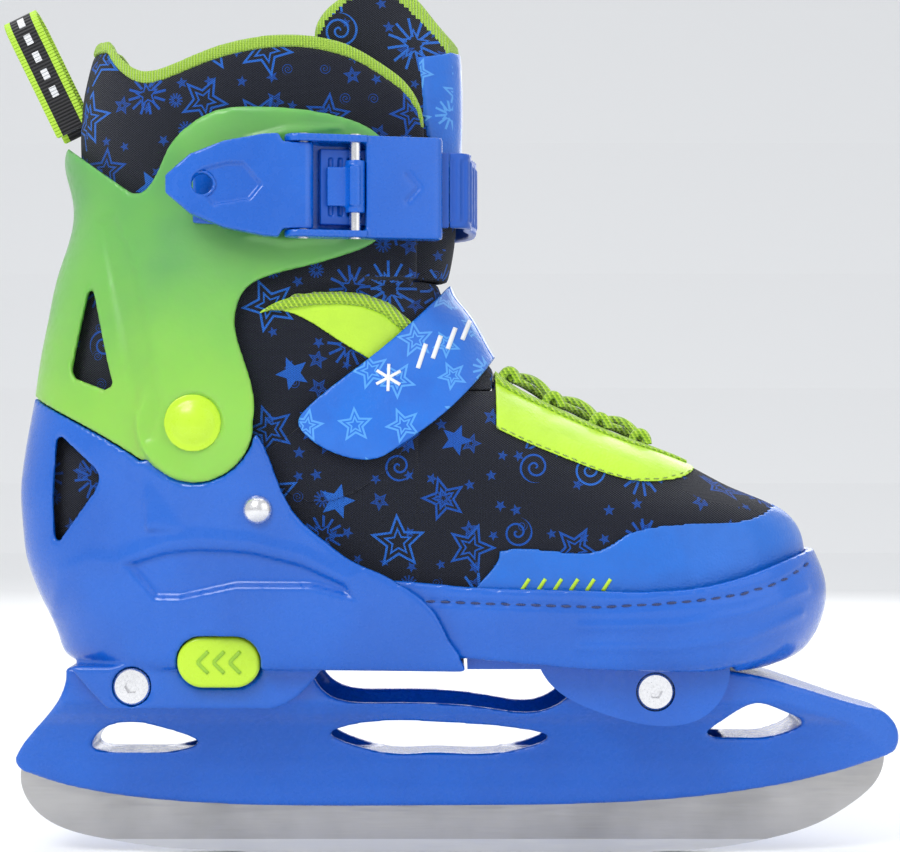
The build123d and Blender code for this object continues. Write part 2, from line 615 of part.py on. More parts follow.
def make_collar_piping():
    """Corded edge along the collar's rim."""
    band = collar_profile(3.2) - collar_profile(0.05)
    return solids_of(layer(COLLAR, band, -0.6, 4.6))[0]


def make_tongue_upper():
    """Padded tongue in front of the shin, riding with the cuff."""
    top = [(-41.5, 262.0), (-38.6, 267.4), (-32.5, 272.6), (-24.7, 275.8),
           (-14.5, 275.6), (-8.6, 270.8), (-3.3, 264.6), (4.0, 259.6)]
    profile = side_prism([
        top, [(4.0, 259.6), (8.0, 259.0)], [(8.0, 259.0), (8.0, 180.0)],
        [(8.0, 180.0), (-41.5, 180.0)], [(-41.5, 180.0), (-41.5, 262.0)]], -60, 60)
    profile = profile & box(-60, 20, -60, 60, FLEX_FRONT, 300)
    return solids_of(layer(TONGUE, profile, 0.0, 5.0))[0]


def make_tongue_ankle():
    """Flexing foot of the tongue, between the laces and the shin."""
    slab = box(-20.0, 20, -60, 60, 184.6, FLEX_FRONT - PANEL_GAP)
    return solids_of(layer(TONGUE, slab, 0.0, 5.0))[0]


def make_tongue_label():
    """Shield-shaped badge on the front of the tongue."""
    half = [(0.0, 203.0), (13.0, 203.0), (16.5, 212.0), (20.5, 236.0),
            (22.0, 254.5), (12.0, 257.5), (0.0, 258.5)]
    points = half + [(-y, z) for y, z in reversed(half[1:-1])]
    ring = Polyline(*[(-60.0, y, z) for y, z in points], close=True)
    shield = extrude(Face(Wire(ring.edges())), amount=100, dir=(1, 0, 0))
    front = box(-40, 20, -60, 60, 180, 280)
    return solids_of(layer(TONGUE, shield & front, -1.3, -0.1))[0]


def make_tongue_lower():
    """Tongue under the laces, on the front of the foot."""
    plan = [(STRETCH_TO + PANEL_GAP, 17.0), (56.0, 13.5), (74.0, 8.0)]
    skin = boot_body(SOFT, VAMP_THICK + 0.2) - boot_body(SOFT, VAMP_THICK + 3.4)
    return solids_of(skin & plan_prism(plan, 100, 190))[0]


EYESTAY_TOP = [(78.5, 128.0), (59.4, 134.5), (28.0, 152.0), (STRETCH_TO + PANEL_GAP, 163.0)]


def eyestay_profile():
    """Side outline of the front eyestay."""
    low = [(STRETCH_TO + PANEL_GAP, 137.4), (23.7, 133.0), (36.5, 127.8), (49.3, 123.1),
           (57.1, 121.2), (66.5, 121.0), (74.2, 122.3), (78.5, 124.4)]
    return side_prism([
        low, [(78.5, 124.4), (78.5, 128.0)],
        EYESTAY_TOP, [EYESTAY_TOP[-1], low[0]]], -60, 60)


def make_eyestay():
    """Leather facing either side of the lacing."""
    return layer(SOFT, eyestay_profile(), -1.5, -0.2) - throat_cut()


def make_throat_binding():
    """Ribbed edging along the throat, proud of the eyestay."""
    outer = plan_prism([(STRETCH_TO + PANEL_GAP, 17.0), (58.0, 14.5), (76.5, 4.0)], 118, 180)
    band = layer(SOFT, outer, -3.0, -1.55) - throat_cut()
    return band


def make_ankle_facing():
    """Eyestay leather beside the ankle, ending in the top lacing loop."""
    low = [(-60.0, 172.0), (-52.0, 173.6), (-46.6, 172.0), (-36.0, 165.6), (-27.1, 160.1),
           (-10.0, 150.8)]
    high = [(-10.0, 168.0), (-18.0, 175.4), (-27.1, 179.2), (-35.2, 179.6), (-46.0, 178.6), (-55.0, 175.6), (-60.0, 172.0)]
    profile = side_prism([low, [low[-1], high[0]], high], -60, 60)
    return layer(SOFT, profile, -1.3, -0.2)


LACE_ROWS = ((19.0, 156.4), (33.0, 147.4), (48.0, 138.0), (61.0, 130.6))


def make_lace_loops():
    """Webbing loops on both eyestays that hold the lace."""
    loops = None
    for x, z in LACE_ROWS:
        for side in (-1, 1):
            y = half_at(SOFT, x, z - 9.0, -1.5)
            low, high = sorted((side * (y - 0.2), side * (y + 2.8)))
            tilt = Rot(0, 34, 0)
            loop = tilt * box(-7.5, 7.5, low, high, -2.4, 2.4)
            loop = Pos(x, 0, z - 9.0) * loop
            loops = loop if loops is None else loops + loop
    return loops - boot_body(SOFT, -1.8)


# lace crossings: X, half width inside the throat, Z
LACE_BARS = ((19.0, 10.0, 154.2), (33.0, 9.4, 146.4), (48.0, 8.6, 139.7), (61.0, 6.6, 134.6))


def make_laces():
    """Lace bars that cross the tongue from loop to loop."""
    bars = None
    for (x0, y0, z0), (x1, y1, z1) in zip(LACE_BARS, LACE_BARS[1:]):
        for side in (-1, 1):
            start = Vector(x0, side * y0, z0)
            end = Vector(x1, -side * y1, z1)
            lift = 1.9 if side > 0 else 0.0
            middle = (start + end) / 2 + Vector(0.6 * lift, 0, lift + 0.8)
            bar = lace_bar(start, middle) + lace_bar(middle, end)
            bars = bar if bars is None else bars + bar
    return bars


def lace_bar(start, end):
    """One straight run of lace with a round end."""
    run = end - start
    plane = Plane(origin=start, z_dir=run)
    return plane * (Pos(0, 0, run.length / 2) * Cylinder(1.6, run.length)) + Pos(*end) * Sphere(1.6)


def make_toe_cap():
    """Stitched leather cap over the toe, tucked into the toe shell."""
    top = [(4.8, 88.0), (7.4, 93.6), (10.7, 97.6), (15.8, 99.7), (27.6, 100.1),
           (48.6, 101.0), (54.0, 104.4), (60.0, 106.4), (72.0, 107.8), (98.5, 110.4),
           (104.0, 113.4)]
    profile = side_prism([
        top, [(104.0, 113.4), (130.0, 118.0)], [(130.0, 118.0), (130.0, 85.0)],
        [(130.0, 85.0), (4.8, 85.0)], [(4.8, 85.0), (4.8, 88.0)]], -60, 60)
    cap = layer(SOFT, profile & box(15.0, 140, -60, 60, 60, 130), -1.2, -0.15)
    return solids_of(cap)[0]


STRAP_OUT, STRAP_IN = -4.8, -2.6


def strap_profile():
    """Side outline of the instep strap, rounded at its free end."""
    edge = [(16.5, 163.0), (0.6, 144.2), (-17.0, 131.0), (-22.0, 128.3), (-28.5, 127.9),
            (-36.5, 130.2), (-43.6, 134.6), (-46.6, 139.2), (-43.3, 144.2),
            (-27.2, 157.3), (-7.5, 174.9), (0.0, 183.4)]
    return side_prism([edge, [edge[-1], edge[0]]], -60, 60)


def strap_band(outer, inner):
    """Strap layer over the instep, as one band from side to side."""
    return layer(SOFT, strap_profile(), outer, inner) & box(-60, 40, -60, 60, 100, 183.2)


HINGE_Y = -9.0


def make_strap_flap():
    """Outer half of the instep strap, with the free end that peels up."""
    return solids_of(strap_band(STRAP_OUT, STRAP_IN) & box(-80, 60, -60, HINGE_Y, 0, 300))[0]


def make_strap_root():
    """Inner half of the instep strap, sewn to the boot."""
    band = strap_band(STRAP_OUT, STRAP_IN)
    return solids_of(band & box(-80, 60, HINGE_Y + PANEL_GAP, 60, 0, 300))[0]


def make_loop_patch():
    """Fleecy patch that the strap's hooks hold on to."""
    outline = [(-58.0, 131.0), (-46.0, 139.0), (-30.0, 152.0), (-12.0, 144.0),
               (-17.0, 127.0), (-33.0, 116.0), (-50.0, 117.0)]
    profile = side_blob(outline, -60, 0)
    patch = layer(SOFT, profile, -0.9, -0.05)
    patch = patch & box(-58, STRETCH_FROM - 0.4, -60, 0, 100, QUARTER_TOP)
    return solids_of(patch)[0]


def make_insole():
    """Foot bed inside the soft boot."""
    slab = boot_body(SOFT, VAMP_THICK + 3.0) & box(-112, 84, -60, 60, 72.4, 75.4)
    return solids_of(slab)[0]


# ---------------------------------------------------------------- pull loop
LOOP_LEAN = math.radians(26.0)
LOOP_BASE = (-121.2, 233.0)
LOOP_LENGTH, LOOP_HALF_GAP, LOOP_WIDTH, LOOP_THICK = 42.0, 8.0, 11.5, 1.3


def make_pull_loop():
    """Webbing loop standing at the back of the collar."""
    base_x, base_z = LOOP_BASE
    across = (-math.cos(LOOP_LEAN), 0, -math.sin(LOOP_LEAN))
    plane = Plane(origin=(base_x, 0, base_z), x_dir=(0, -1, 0), z_dir=across)
    outer = loop_face(LOOP_HALF_GAP, LOOP_LENGTH)
    inner = loop_face(LOOP_HALF_GAP - LOOP_THICK, LOOP_LENGTH - LOOP_THICK)
    band = extrude(outer, LOOP_WIDTH / 2, both=True) - extrude(inner, LOOP_WIDTH, both=True)
    return plane * band - boot_body(COLLAR, -0.2)


def loop_face(half, length):
    """Face of an upright loop with a round top and straight legs."""
    arc = ThreePointArc((half, length - half), (0, length), (-half, length - half))
    foot = Polyline((-half, length - half), (-half, 0), (half, 0), (half, length - half))
    return Face(Wire(arc.edges() + foot.edges()))


# ---------------------------------------------------------------- buckle and ladder strap
BASE_RIVETS = [(-72.0, 218.0), (-72.0, 204.0)]
ANCHOR_RIVET = (-41.0, 211.0)
EAR_HALF, EAR_THICK = 15.6, 2.2
PIN_RADIUS = 1.8


def buckle_frame(tilt):
    """Placement at the lever pin, with local X along the strap and local Y outwards."""
    return Pos(BUCKLE_PIN[0], BUCKLE_PIN[1], BUCKLE_Z) * Rot(0, 0, tilt)


def pin_z(x, y, radius, half):
    """Round pin along Z in the buckle's own placement."""
    return Pos(x, y, 0) * Cylinder(radius, 2 * half)


def make_buckle_base():
    """Fixed body of the ratchet: foot, ears and the covered strap channel."""
    place = buckle_frame(BUCKLE_TILT)
    ears = None
    for side in (-1, 1):
        low, high = sorted((side * EAR_HALF, side * (EAR_HALF - EAR_THICK)))
        ear = box(-5.6, 19.0, -4.6, 5.2, low, high)
        ear = fillet(ear.edges().filter_by(Axis.Z).group_by(Axis.X)[0], 4.2)
        ears = ear if ears is None else ears + ear
    floor = box(-4.0, 43.5, 3.4, 5.2, -EAR_HALF, EAR_HALF)
    cover = box(19.0, 43.5, -3.6, 5.2, -EAR_HALF, EAR_HALF)
    cover = fillet(cover.edges().filter_by(Axis.Z).group_by(Axis.X)[-1].sort_by(Axis.Y)[0], 3.0)
    cover = cover - box(18.0, 45.0, -0.4, 3.4, -11.9, 11.9)
    body = place * (ears + floor + cover)
    body = body - place * pin_z(0, 0, PIN_RADIUS, 30) - place * pin_z(15.8, -1.6, PIN_RADIUS, 30)
    foot = side_polygon([(-79.0, 200.4), (-79.0, 221.6), (-44.0, 224.0), (-44.0, 198.0)],
                        -60, 0)
    foot = layer(SHELL, foot, -2.0, -0.25)
    for x, z in BASE_RIVETS:
        foot = foot - pin_y(x, z, 2.05, -60, 0)
    body = body + foot
    return solids_of(body - boot_body(SHELL, -0.25))[0]


def make_base_rivets():
    """Two flat rivets that hold the buckle's foot to the cuff."""
    rivets = None
    for x, z in BASE_RIVETS:
        head = face_reach(SHELL, x, z, 3.5, -2.0) + 0.05
        rivet = pin_y(x, z, 2.0, -head - 0.1, -head + 4.6)
        rivet = rivet + pin_y(x, z, 3.4, -head - 0.9, -head)
        rivets = rivet if rivets is None else rivets + rivet
    return rivets


def make_buckle_pin(offset):
    """Steel cross pin held in the base's ears."""
    return buckle_frame(BUCKLE_TILT) * pin_z(offset[0], offset[1], PIN_RADIUS, EAR_HALF + 0.4)


def make_buckle_lever():
    """Shield-shaped lever that closes flat against the cuff."""
    neck_half = EAR_HALF - EAR_THICK - 0.3
    outline = [(-41.5, 2.6), (-34.0, 9.0), (-24.0, 13.0), (-12.0, 15.4), (-7.6, 15.6),
               (-6.2, neck_half), (4.6, neck_half)]
    points = outline + [(x, -z) for x, z in reversed(outline)]
    ring = Polyline(*[(x, -6.0, z) for x, z in points], close=True)
    slab = extrude(Face(Wire(ring.edges())), amount=12.0, dir=(0, 1, 0))
    rise = [(-42.0, -3.6), (-42.0, -0.6), (-20.0, 1.4), (-6.0, 2.2), (0.0, LEVER_HUB),
            (0.0, -LEVER_HUB), (-10.0, -4.6), (-26.0, -5.4), (-38.0, -5.0)]
    side_ring = Polyline(*[(x, y, -20) for x, y in rise], close=True)
    side = extrude(Face(Wire(side_ring.edges())), amount=40, dir=(0, 0, 1))
    slab = slab & (side + pin_z(0, 0, LEVER_HUB, 20))
    slab = slab - pin_z(0, 0, PIN_RADIUS + RUNNING_FIT, 30)
    eye = Pos(-30.5, 0, 0) * Rot(90, 0, 0) * Cylinder(3.2, 20)
    lever = buckle_frame(LEVER_TILT) * (slab - eye)
    return lever - boot_body(SHELL, -3.6)


LEVER_TILT = 5.0
LEVER_HUB = 3.1
PAWL_PIN = (15.8, -1.6)


def make_buckle_pawl():
    """Spring pawl whose nose sits over the ladder strap's teeth."""
    x, y = PAWL_PIN
    hub = pin_z(x, y, 3.0, 8.0)
    nose = box(x - 8.6, x, -1.9, -0.5, -6.0, 6.0)
    nose = nose + box(x - 8.6, x - 7.4, -1.6, -0.2, -6.0, 6.0)
    thumb = box(x - 2.4, x + 0.8, y - 3.6, y, -6.0, 6.0)
    pawl = (hub + nose + thumb) - pin_z(x, y, PIN_RADIUS + RUNNING_FIT, 30)
    pawl = pawl - box(0, 60, -0.12, 8, -20, 20)
    return buckle_frame(BUCKLE_TILT) * pawl


def make_strap_tip():
    """Straight toothed end of the ladder strap, inside the buckle."""
    strap = box(5.4, 46.0, 0.3, 3.0, -11.6, 11.6)
    for step in range(11):
        x = 8.0 + 3.0 * step
        strap = strap - box(x, x + 1.4, 0.0, 1.2, -9.0, 9.0)
    return buckle_frame(BUCKLE_TILT) * strap


def make_ladder_band():
    """Flexible middle of the ladder strap, round the front of the shin."""
    place = buckle_frame(BUCKLE_TILT)
    start = (place * Pos(46.5, 1.65, 0)).position
    lead = (place * Pos(50.0, 1.65, 0)).position
    path = [(start.X, start.Y), (lead.X, lead.Y), (5.2, -22.0), (7.0, -9.0), (7.1, 0.0),
            (6.6, 10.0), (1.4, 23.0), (-10.0, 33.4), (-26.4, 40.3)]
    middle = Spline(*[(x, y, 199.4) for x, y in path])
    half = 1.3
    outside, inside = [], []
    for index in range(17):
        point = middle @ (index / 16)
        along = middle % (index / 16)
        outside.append((point.X + along.Y * half, point.Y - along.X * half, 199.4))
        inside.append((point.X - along.Y * half, point.Y + along.X * half, 199.4))
    edges = [Spline(*outside), Line(outside[-1], inside[-1]),
             Spline(*reversed(inside)), Line(inside[0], outside[0])]
    band = extrude(Face(Wire(edges)), amount=23.2, dir=(0, 0, 1))
    return solids_of(band - layer(SHELL, cuff_profile(), -0.25, SHELL_WALL))[0]


def make_strap_anchor():
    """Fixed end of the ladder strap on the cuff's inner side."""
    x, z = ANCHOR_RIVET
    profile = side_polygon([(-52.0, 201.0), (-52.0, 221.0), (-27.0, 222.6), (-27.0, 199.4)], 0, 60)
    anchor = layer(SHELL, profile, -3.0, -0.05)
    return anchor - pin_y(x, z, 2.05, 0, 60)


def make_anchor_rivet():
    """Rivet through the ladder strap's fixed end."""
    x, z = ANCHOR_RIVET
    head = face_reach(SHELL, x, z, 4.5, -3.0) + 0.05
    return pin_y(x, z, 2.0, head - 5.6, head + 0.1) + pin_y(x, z, 4.4, head, head + 1.2)


# ---------------------------------------------------------------- the whole skate
def nodes():
    """Every node's name and how to make it."""
    yield "blade", make_blade
    yield "blade_holder", make_blade_holder
    yield "sole_plate", make_sole_plate
    yield "heel_shell", make_heel_shell
    for place, spot in (("rear", REAR_BOLT), ("front", FRONT_BOLT)):
        yield f"{place}_bolt", lambda spot=spot: make_bolt(*spot)
        yield f"{place}_nut", lambda spot=spot: make_nut(*spot)
        yield f"{place}_bolt_sleeve", lambda spot=spot: make_sleeve(*spot)
    for name, side in (("outer", -1), ("inner", 1)):
        yield f"pivot_rivet_{name}", lambda side=side: make_pivot_rivet(side)
        yield f"pivot_nut_{name}", lambda side=side: make_pivot_nut(side)
        yield f"shell_rivet_{name}", lambda side=side: make_shell_rivet(side)
    yield "insole", make_insole
    yield "liner_quarter", make_liner_quarter
    yield "loop_patch", make_loop_patch
    yield "ankle_facing", make_ankle_facing
    yield "instep_strap_root", make_strap_root
    yield "instep_strap_flap", make_strap_flap
    yield "size_button", make_size_button
    yield "button_spring", make_button_spring
    yield "toe_shell", make_toe_shell
    yield "size_rack", make_size_rack
    yield "toe_cap", make_toe_cap
    yield "vamp", make_vamp
    yield "stretch_panel", make_stretch_panel
    yield "tongue_lower", make_tongue_lower
    yield "eyestay", make_eyestay
    yield "throat_binding", make_throat_binding
    yield "lace_loops", make_lace_loops
    yield "laces", make_laces
    yield "cuff", make_cuff
    yield "liner_ankle", make_liner_ankle
    yield "liner_collar", make_liner_collar
    yield "ankle_gusset", make_ankle_gusset
    yield "tongue_ankle", make_tongue_ankle
    yield "collar_piping", make_collar_piping
    yield "tongue_upper", make_tongue_upper
    yield "tongue_label", make_tongue_label
    yield "pull_loop", make_pull_loop
    yield "buckle_base", make_buckle_base
    yield "base_rivets", make_base_rivets
    yield "lever_pin", lambda: make_buckle_pin((0.0, 0.0))
    yield "pawl_pin", lambda: make_buckle_pin(PAWL_PIN)
    yield "buckle_lever", make_buckle_lever
    yield "buckle_pawl", make_buckle_pawl
    yield "ladder_strap_tip", make_strap_tip
    yield "ladder_band", make_ladder_band
    yield "strap_anchor", make_strap_anchor
    yield "anchor_rivet", make_anchor_rivet


def main():
    """Write every node's STEP file."""
    os.makedirs("parts", exist_ok=True)
    for name, make in nodes():
        save(name, make())


if __name__ == "__main__":
    main()
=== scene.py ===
"""Ice skate: visible model built over its mechanical frame, in metres."""
import logging
import math
from dataclasses import dataclass
from enum import Enum
from typing import Callable, Sequence, Union

import bmesh
import bpy
import numpy as np
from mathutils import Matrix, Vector
from mathutils.bvhtree import BVHTree


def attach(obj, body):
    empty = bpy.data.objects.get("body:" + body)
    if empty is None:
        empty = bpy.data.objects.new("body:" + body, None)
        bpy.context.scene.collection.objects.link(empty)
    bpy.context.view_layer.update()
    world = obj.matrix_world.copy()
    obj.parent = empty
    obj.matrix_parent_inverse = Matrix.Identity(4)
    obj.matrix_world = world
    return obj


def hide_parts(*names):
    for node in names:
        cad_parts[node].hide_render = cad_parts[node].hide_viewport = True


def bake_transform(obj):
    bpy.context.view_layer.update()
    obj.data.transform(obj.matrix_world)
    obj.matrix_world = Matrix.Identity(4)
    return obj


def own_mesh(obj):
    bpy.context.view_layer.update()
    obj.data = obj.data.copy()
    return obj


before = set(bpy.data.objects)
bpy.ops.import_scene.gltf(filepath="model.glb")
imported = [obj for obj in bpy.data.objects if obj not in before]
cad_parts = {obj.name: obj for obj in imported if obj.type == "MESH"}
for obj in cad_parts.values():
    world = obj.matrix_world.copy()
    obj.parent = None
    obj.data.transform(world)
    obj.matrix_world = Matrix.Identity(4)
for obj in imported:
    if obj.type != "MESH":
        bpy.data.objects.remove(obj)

LOG = logging.getLogger("ice_skate")
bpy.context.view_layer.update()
MM = 0.001
ROOT, TOE, CUFF = "root", "toe", "cuff"
Colour = tuple[float, float, float]
Outline = Sequence[tuple[float, float]]
Value = Union[float, bpy.types.NodeSocket]
STAR_LEAN = 1.176  # radians between a star's arm and the square to its edge


# ------------------------------------------------------------------ shading
class Coordinates(Enum):
    """Where a finish reads its pattern from."""

    OBJECT = "Object"
    CLOTH = "UV"


class Graph:
    """Short-hand writer for one material's node tree."""

    def __init__(self, name: str) -> None:
        """Start an empty tree with one Principled shader.

        Args:
            name: The material's name.
        """
        self.material = bpy.data.materials.new(name)
        self.material.use_nodes = True
        self.tree = self.material.node_tree
        self.tree.nodes.clear()
        self.shader = self.tree.nodes.new("ShaderNodeBsdfPrincipled")
        output = self.tree.nodes.new("ShaderNodeOutputMaterial")
        self.tree.links.new(self.shader.outputs[0], output.inputs["Surface"])

    def put(self, socket: bpy.types.NodeSocket, value: object) -> None:
        """Link or set one input."""
        if isinstance(value, bpy.types.NodeSocket):
            self.tree.links.new(value, socket)
        else:
            socket.default_value = value

    def node(self, kind: str, *values: object, **settings: object) -> bpy.types.Node:
        """Add a node, with settings first and its leading inputs after.

        Args:
            kind: Node type without the ShaderNode prefix.
            values: Leading inputs, None to leave one as it is.
            settings: Node properties.
        Returns:
            The node.
        """
        made = self.tree.nodes.new("ShaderNode" + kind)
        for key, value in settings.items():
            setattr(made, key, value)
        for socket, value in zip(made.inputs, values):
            if value is not None:
                self.put(socket, value)
        return made

    def math(self, operation: str, *values: Value) -> bpy.types.NodeSocket:
        """One Math node's result."""
        return self.node("Math", *values, operation=operation).outputs[0]

    def place(self, source: Coordinates) -> bpy.types.NodeSocket:
        """Pattern coordinates in metres."""
        return self.node("TexCoord").outputs[source.value]

    def noise(self, where: bpy.types.NodeSocket, scale: float, detail: float = 3.0) -> bpy.types.NodeSocket:
        """Noise from 0 to 1."""
        made = self.node("TexNoise")
        self.put(made.inputs["Vector"], where)
        self.put(made.inputs["Scale"], scale)
        self.put(made.inputs["Detail"], detail)
        return made.outputs["Fac"]

    def ramp(
        self, value: Value, low: float, high: float, start: float = 0.0, stop: float = 1.0
    ) -> bpy.types.NodeSocket:
        """Smooth step of a value from low..high onto start..stop."""
        made = self.node("MapRange", value, low, high, start, stop, interpolation_type="SMOOTHSTEP")
        return made.outputs[0]

    def blend(self, share: Value, first: object, second: object) -> bpy.types.NodeSocket:
        """Colour mix; a plain colour may be given as three numbers."""
        made = self.node("Mix", data_type="RGBA")
        self.put(made.inputs[0], share)
        for socket, value in ((made.inputs[6], first), (made.inputs[7], second)):
            self.put(socket, value if isinstance(value, bpy.types.NodeSocket) else (*value, 1.0))
        return made.outputs[2]

    def bump(self, height: Value, depth: float, under: object = None) -> bpy.types.NodeSocket:
        """Bump of a height, depth in metres."""
        made = self.node("Bump")
        self.put(made.inputs["Strength"], 1.0)
        self.put(made.inputs["Distance"], depth)
        self.put(made.inputs["Height"], height)
        if under is not None:
            self.put(made.inputs["Normal"], under)
        return made.outputs[0]

    def set(self, **inputs: object) -> None:
        """Set shader inputs by name, with _ for a space."""
        for key, value in inputs.items():
            socket = self.shader.inputs[key.replace("_", " ")]
            self.put(socket, (*value, 1.0) if socket.type == "RGBA" and isinstance(value, tuple) else value)


@dataclass(frozen=True)
class MouldedPlastic:
    """Glossy or satin moulded plastic with soft sink marks and fine scuffs."""

    name: str
    colour: Colour
    shade: Colour
    roughness: float = 0.3
    coat: float = 0.25
    translucent: float = 0.0
    # Painted light: below the first of the next two heights the colour is the lighter edge colour, standing
    # in for light glowing through the clear plastic; by the second height it gives way to 85 % base colour.
    painted_glow_from: float = 0.0
    painted_glow_to: float = 0.0
    edge: Colour = (0.0, 0.0, 0.0)

    def make(self) -> bpy.types.Material:
        """Build the material."""
        g = Graph(self.name)
        where = g.place(Coordinates.OBJECT)
        cloud = g.noise(where, 28.0, 2.0)
        colour = g.blend(g.ramp(cloud, 0.3, 0.75), self.colour, self.shade)
        # Painted light: lighter edge colour towards the bottom, fading out with height, stands in for light
        # glowing through the clear plastic.
        if self.painted_glow_to != self.painted_glow_from:
            height = g.node("SeparateXYZ", where).outputs[2]
            wander = g.math("MULTIPLY_ADD", g.noise(where, 45.0, 3.0), 0.03, height)
            share = g.ramp(wander, self.painted_glow_from, self.painted_glow_to, 0.0, 0.85)
            colour = g.blend(share, self.edge, colour)
        scuff = g.noise(where, 420.0, 4.0)
        g.set(Base_Color=colour, Coat_Weight=self.coat, Coat_Roughness=0.12)
        g.set(Roughness=g.ramp(scuff, 0.35, 0.75, self.roughness - 0.05, self.roughness + 0.12))
        g.set(Normal=g.bump(g.math("ADD", scuff, g.math("MULTIPLY", cloud, 6.0)), 0.00006))
        if self.translucent:
            g.set(Transmission_Weight=self.translucent, IOR=1.45)
            g.set(Subsurface_Weight=0.5, Subsurface_Scale=0.006, Subsurface_Radius=(0.5, 1.0, 0.3))
        return g.material


@dataclass(frozen=True)
class Steel:
    """Ground or polished steel; the grain runs along X when it is ground."""

    name: str
    colour: Colour
    roughness: float
    grain: float = 0.0
    bevel_below: float = 0.0

    def make(self) -> bpy.types.Material:
        """Build the material."""
        g = Graph(self.name)
        where = g.place(Coordinates.OBJECT)
        long = g.node("Mapping", where).outputs[0]
        long.node.inputs["Scale"].default_value = (0.06, 1.0, 1.0) if self.grain else (1.0, 1.0, 1.0)
        streak = g.noise(long, 1400.0, 5.0)
        stain = g.noise(where, 35.0, 4.0)
        dark = tuple(0.62 * c for c in self.colour)
        colour = g.blend(g.ramp(stain, 0.35, 0.8, 0.0, 0.6), self.colour, dark)
        if self.bevel_below:
            height = g.node("SeparateXYZ", where).outputs[2]
            low = g.math("LESS_THAN", height, self.bevel_below)
            colour = g.blend(g.math("MULTIPLY", low, 0.55), colour, (0.86, 0.87, 0.88))
        g.set(Base_Color=colour, Metallic=1.0)
        g.set(Roughness=g.ramp(streak, 0.3, 0.7, self.roughness - 0.08, self.roughness + 0.12))
        g.set(Normal=g.bump(streak, 0.00004 * max(self.grain, 0.15)))
        return g.material


@dataclass(frozen=True)
class StarField:
    """Scattered printed figures: outlined and filled stars, bursts and curls."""

    cell: float
    size: float
    line: float
    shift: float
    kinds: tuple[float, float, float] = (0.3, 0.68, 0.86)

    def mask(self, g: Graph, where: bpy.types.NodeSocket) -> tuple:
        """Ink share of the figures.

        A star's edge is the straight line r cos(a - f) = R cos f, where a is the angle from the
        nearest of five tips and f turns the line from the tip to the inner corner. A burst has
        twelve rays, and a curl is an Archimedean spiral.

        Args:
            g: The material's graph.
            where: Cloth coordinates in metres.
        Returns:
            Ink share and the cell's random tint.
        """
        grid = g.node("VectorMath", where, operation="SCALE")
        grid.inputs["Scale"].default_value = 1.0 / self.cell
        shift = (self.shift, 0.7 * self.shift, 0.0)
        moved = g.node("VectorMath", grid.outputs[0], shift, operation="ADD").outputs[0]
        cells = g.node("TexVoronoi", voronoi_dimensions="2D")
        g.put(cells.inputs["Vector"], moved)
        g.put(cells.inputs["Scale"], 1.0)
        g.put(cells.inputs["Randomness"], 0.62)
        local = g.node("VectorMath", moved, cells.outputs["Position"], operation="SUBTRACT").outputs[0]
        x, y, _ = g.node("SeparateXYZ", local).outputs
        tint = g.node("SeparateColor", cells.outputs["Color"]).outputs
        turn = g.math("MULTIPLY", tint[0], 6.28)
        angle = g.math("ADD", g.math("ARCTAN2", y, x), turn)
        radius = g.math("POWER", g.math("ADD", g.math("MULTIPLY", x, x), g.math("MULTIPLY", y, y)), 0.5)
        pace = 2 * math.pi / 5
        fold = g.math("ABSOLUTE", g.math("SUBTRACT", g.math("FLOORED_MODULO", angle, pace), pace / 2))
        lean = STAR_LEAN
        slant = g.math("COSINE", g.math("SUBTRACT", fold, lean))
        level = g.math("DIVIDE", g.math("MULTIPLY", radius, slant), math.cos(lean))
        reach = g.math("MULTIPLY_ADD", tint[2], 0.3 * self.size, 0.75 * self.size)
        filled = g.math("LESS_THAN", level, g.math("MULTIPLY", reach, 0.72))
        ring = g.math("COMPARE", level, reach, 2.2 * self.line)
        inner = g.math("COMPARE", level, g.math("MULTIPLY", reach, 0.5), 1.6 * self.line)
        drawn = g.math("MAXIMUM", ring, inner)
        step = 2 * math.pi / 12
        ray = g.math("ABSOLUTE", g.math("SUBTRACT", g.math("FLOORED_MODULO", angle, step), step / 2))
        thin = g.math("LESS_THAN", g.math("MULTIPLY", ray, radius), self.line)
        beyond = g.math("GREATER_THAN", radius, 0.3 * self.size)
        tip = g.math("MULTIPLY", beyond, g.math("LESS_THAN", radius, reach))
        core = g.math("COMPARE", level, g.math("MULTIPLY", reach, 0.55), 1.5 * self.line)
        spikes = g.math("MAXIMUM", g.math("MULTIPLY", thin, tip), core)
        wound = g.math("DIVIDE", angle, 2 * math.pi)
        coil = g.math("SUBTRACT", g.math("MULTIPLY", radius, 3.2 / self.size), wound)
        curl = g.math("COMPARE", g.math("FRACT", coil), 0.5, 0.13)
        curl = g.math("MULTIPLY", curl, g.math("LESS_THAN", radius, g.math("MULTIPLY", reach, 0.7)))
        choice = tint[1]
        ink: Value = filled
        for limit, figure in zip(self.kinds, (drawn, spikes, curl)):
            later = g.math("GREATER_THAN", choice, limit)
            ink = self._pick(g, later, ink, figure)
        return ink, tint[2]

    @staticmethod
    def _pick(g: Graph, later: Value, first: Value, second: Value) -> bpy.types.NodeSocket:
        """second where later is 1, else first."""
        keep = g.math("MULTIPLY", g.math("SUBTRACT", 1.0, later), first)
        return g.math("MULTIPLY_ADD", later, second, keep)


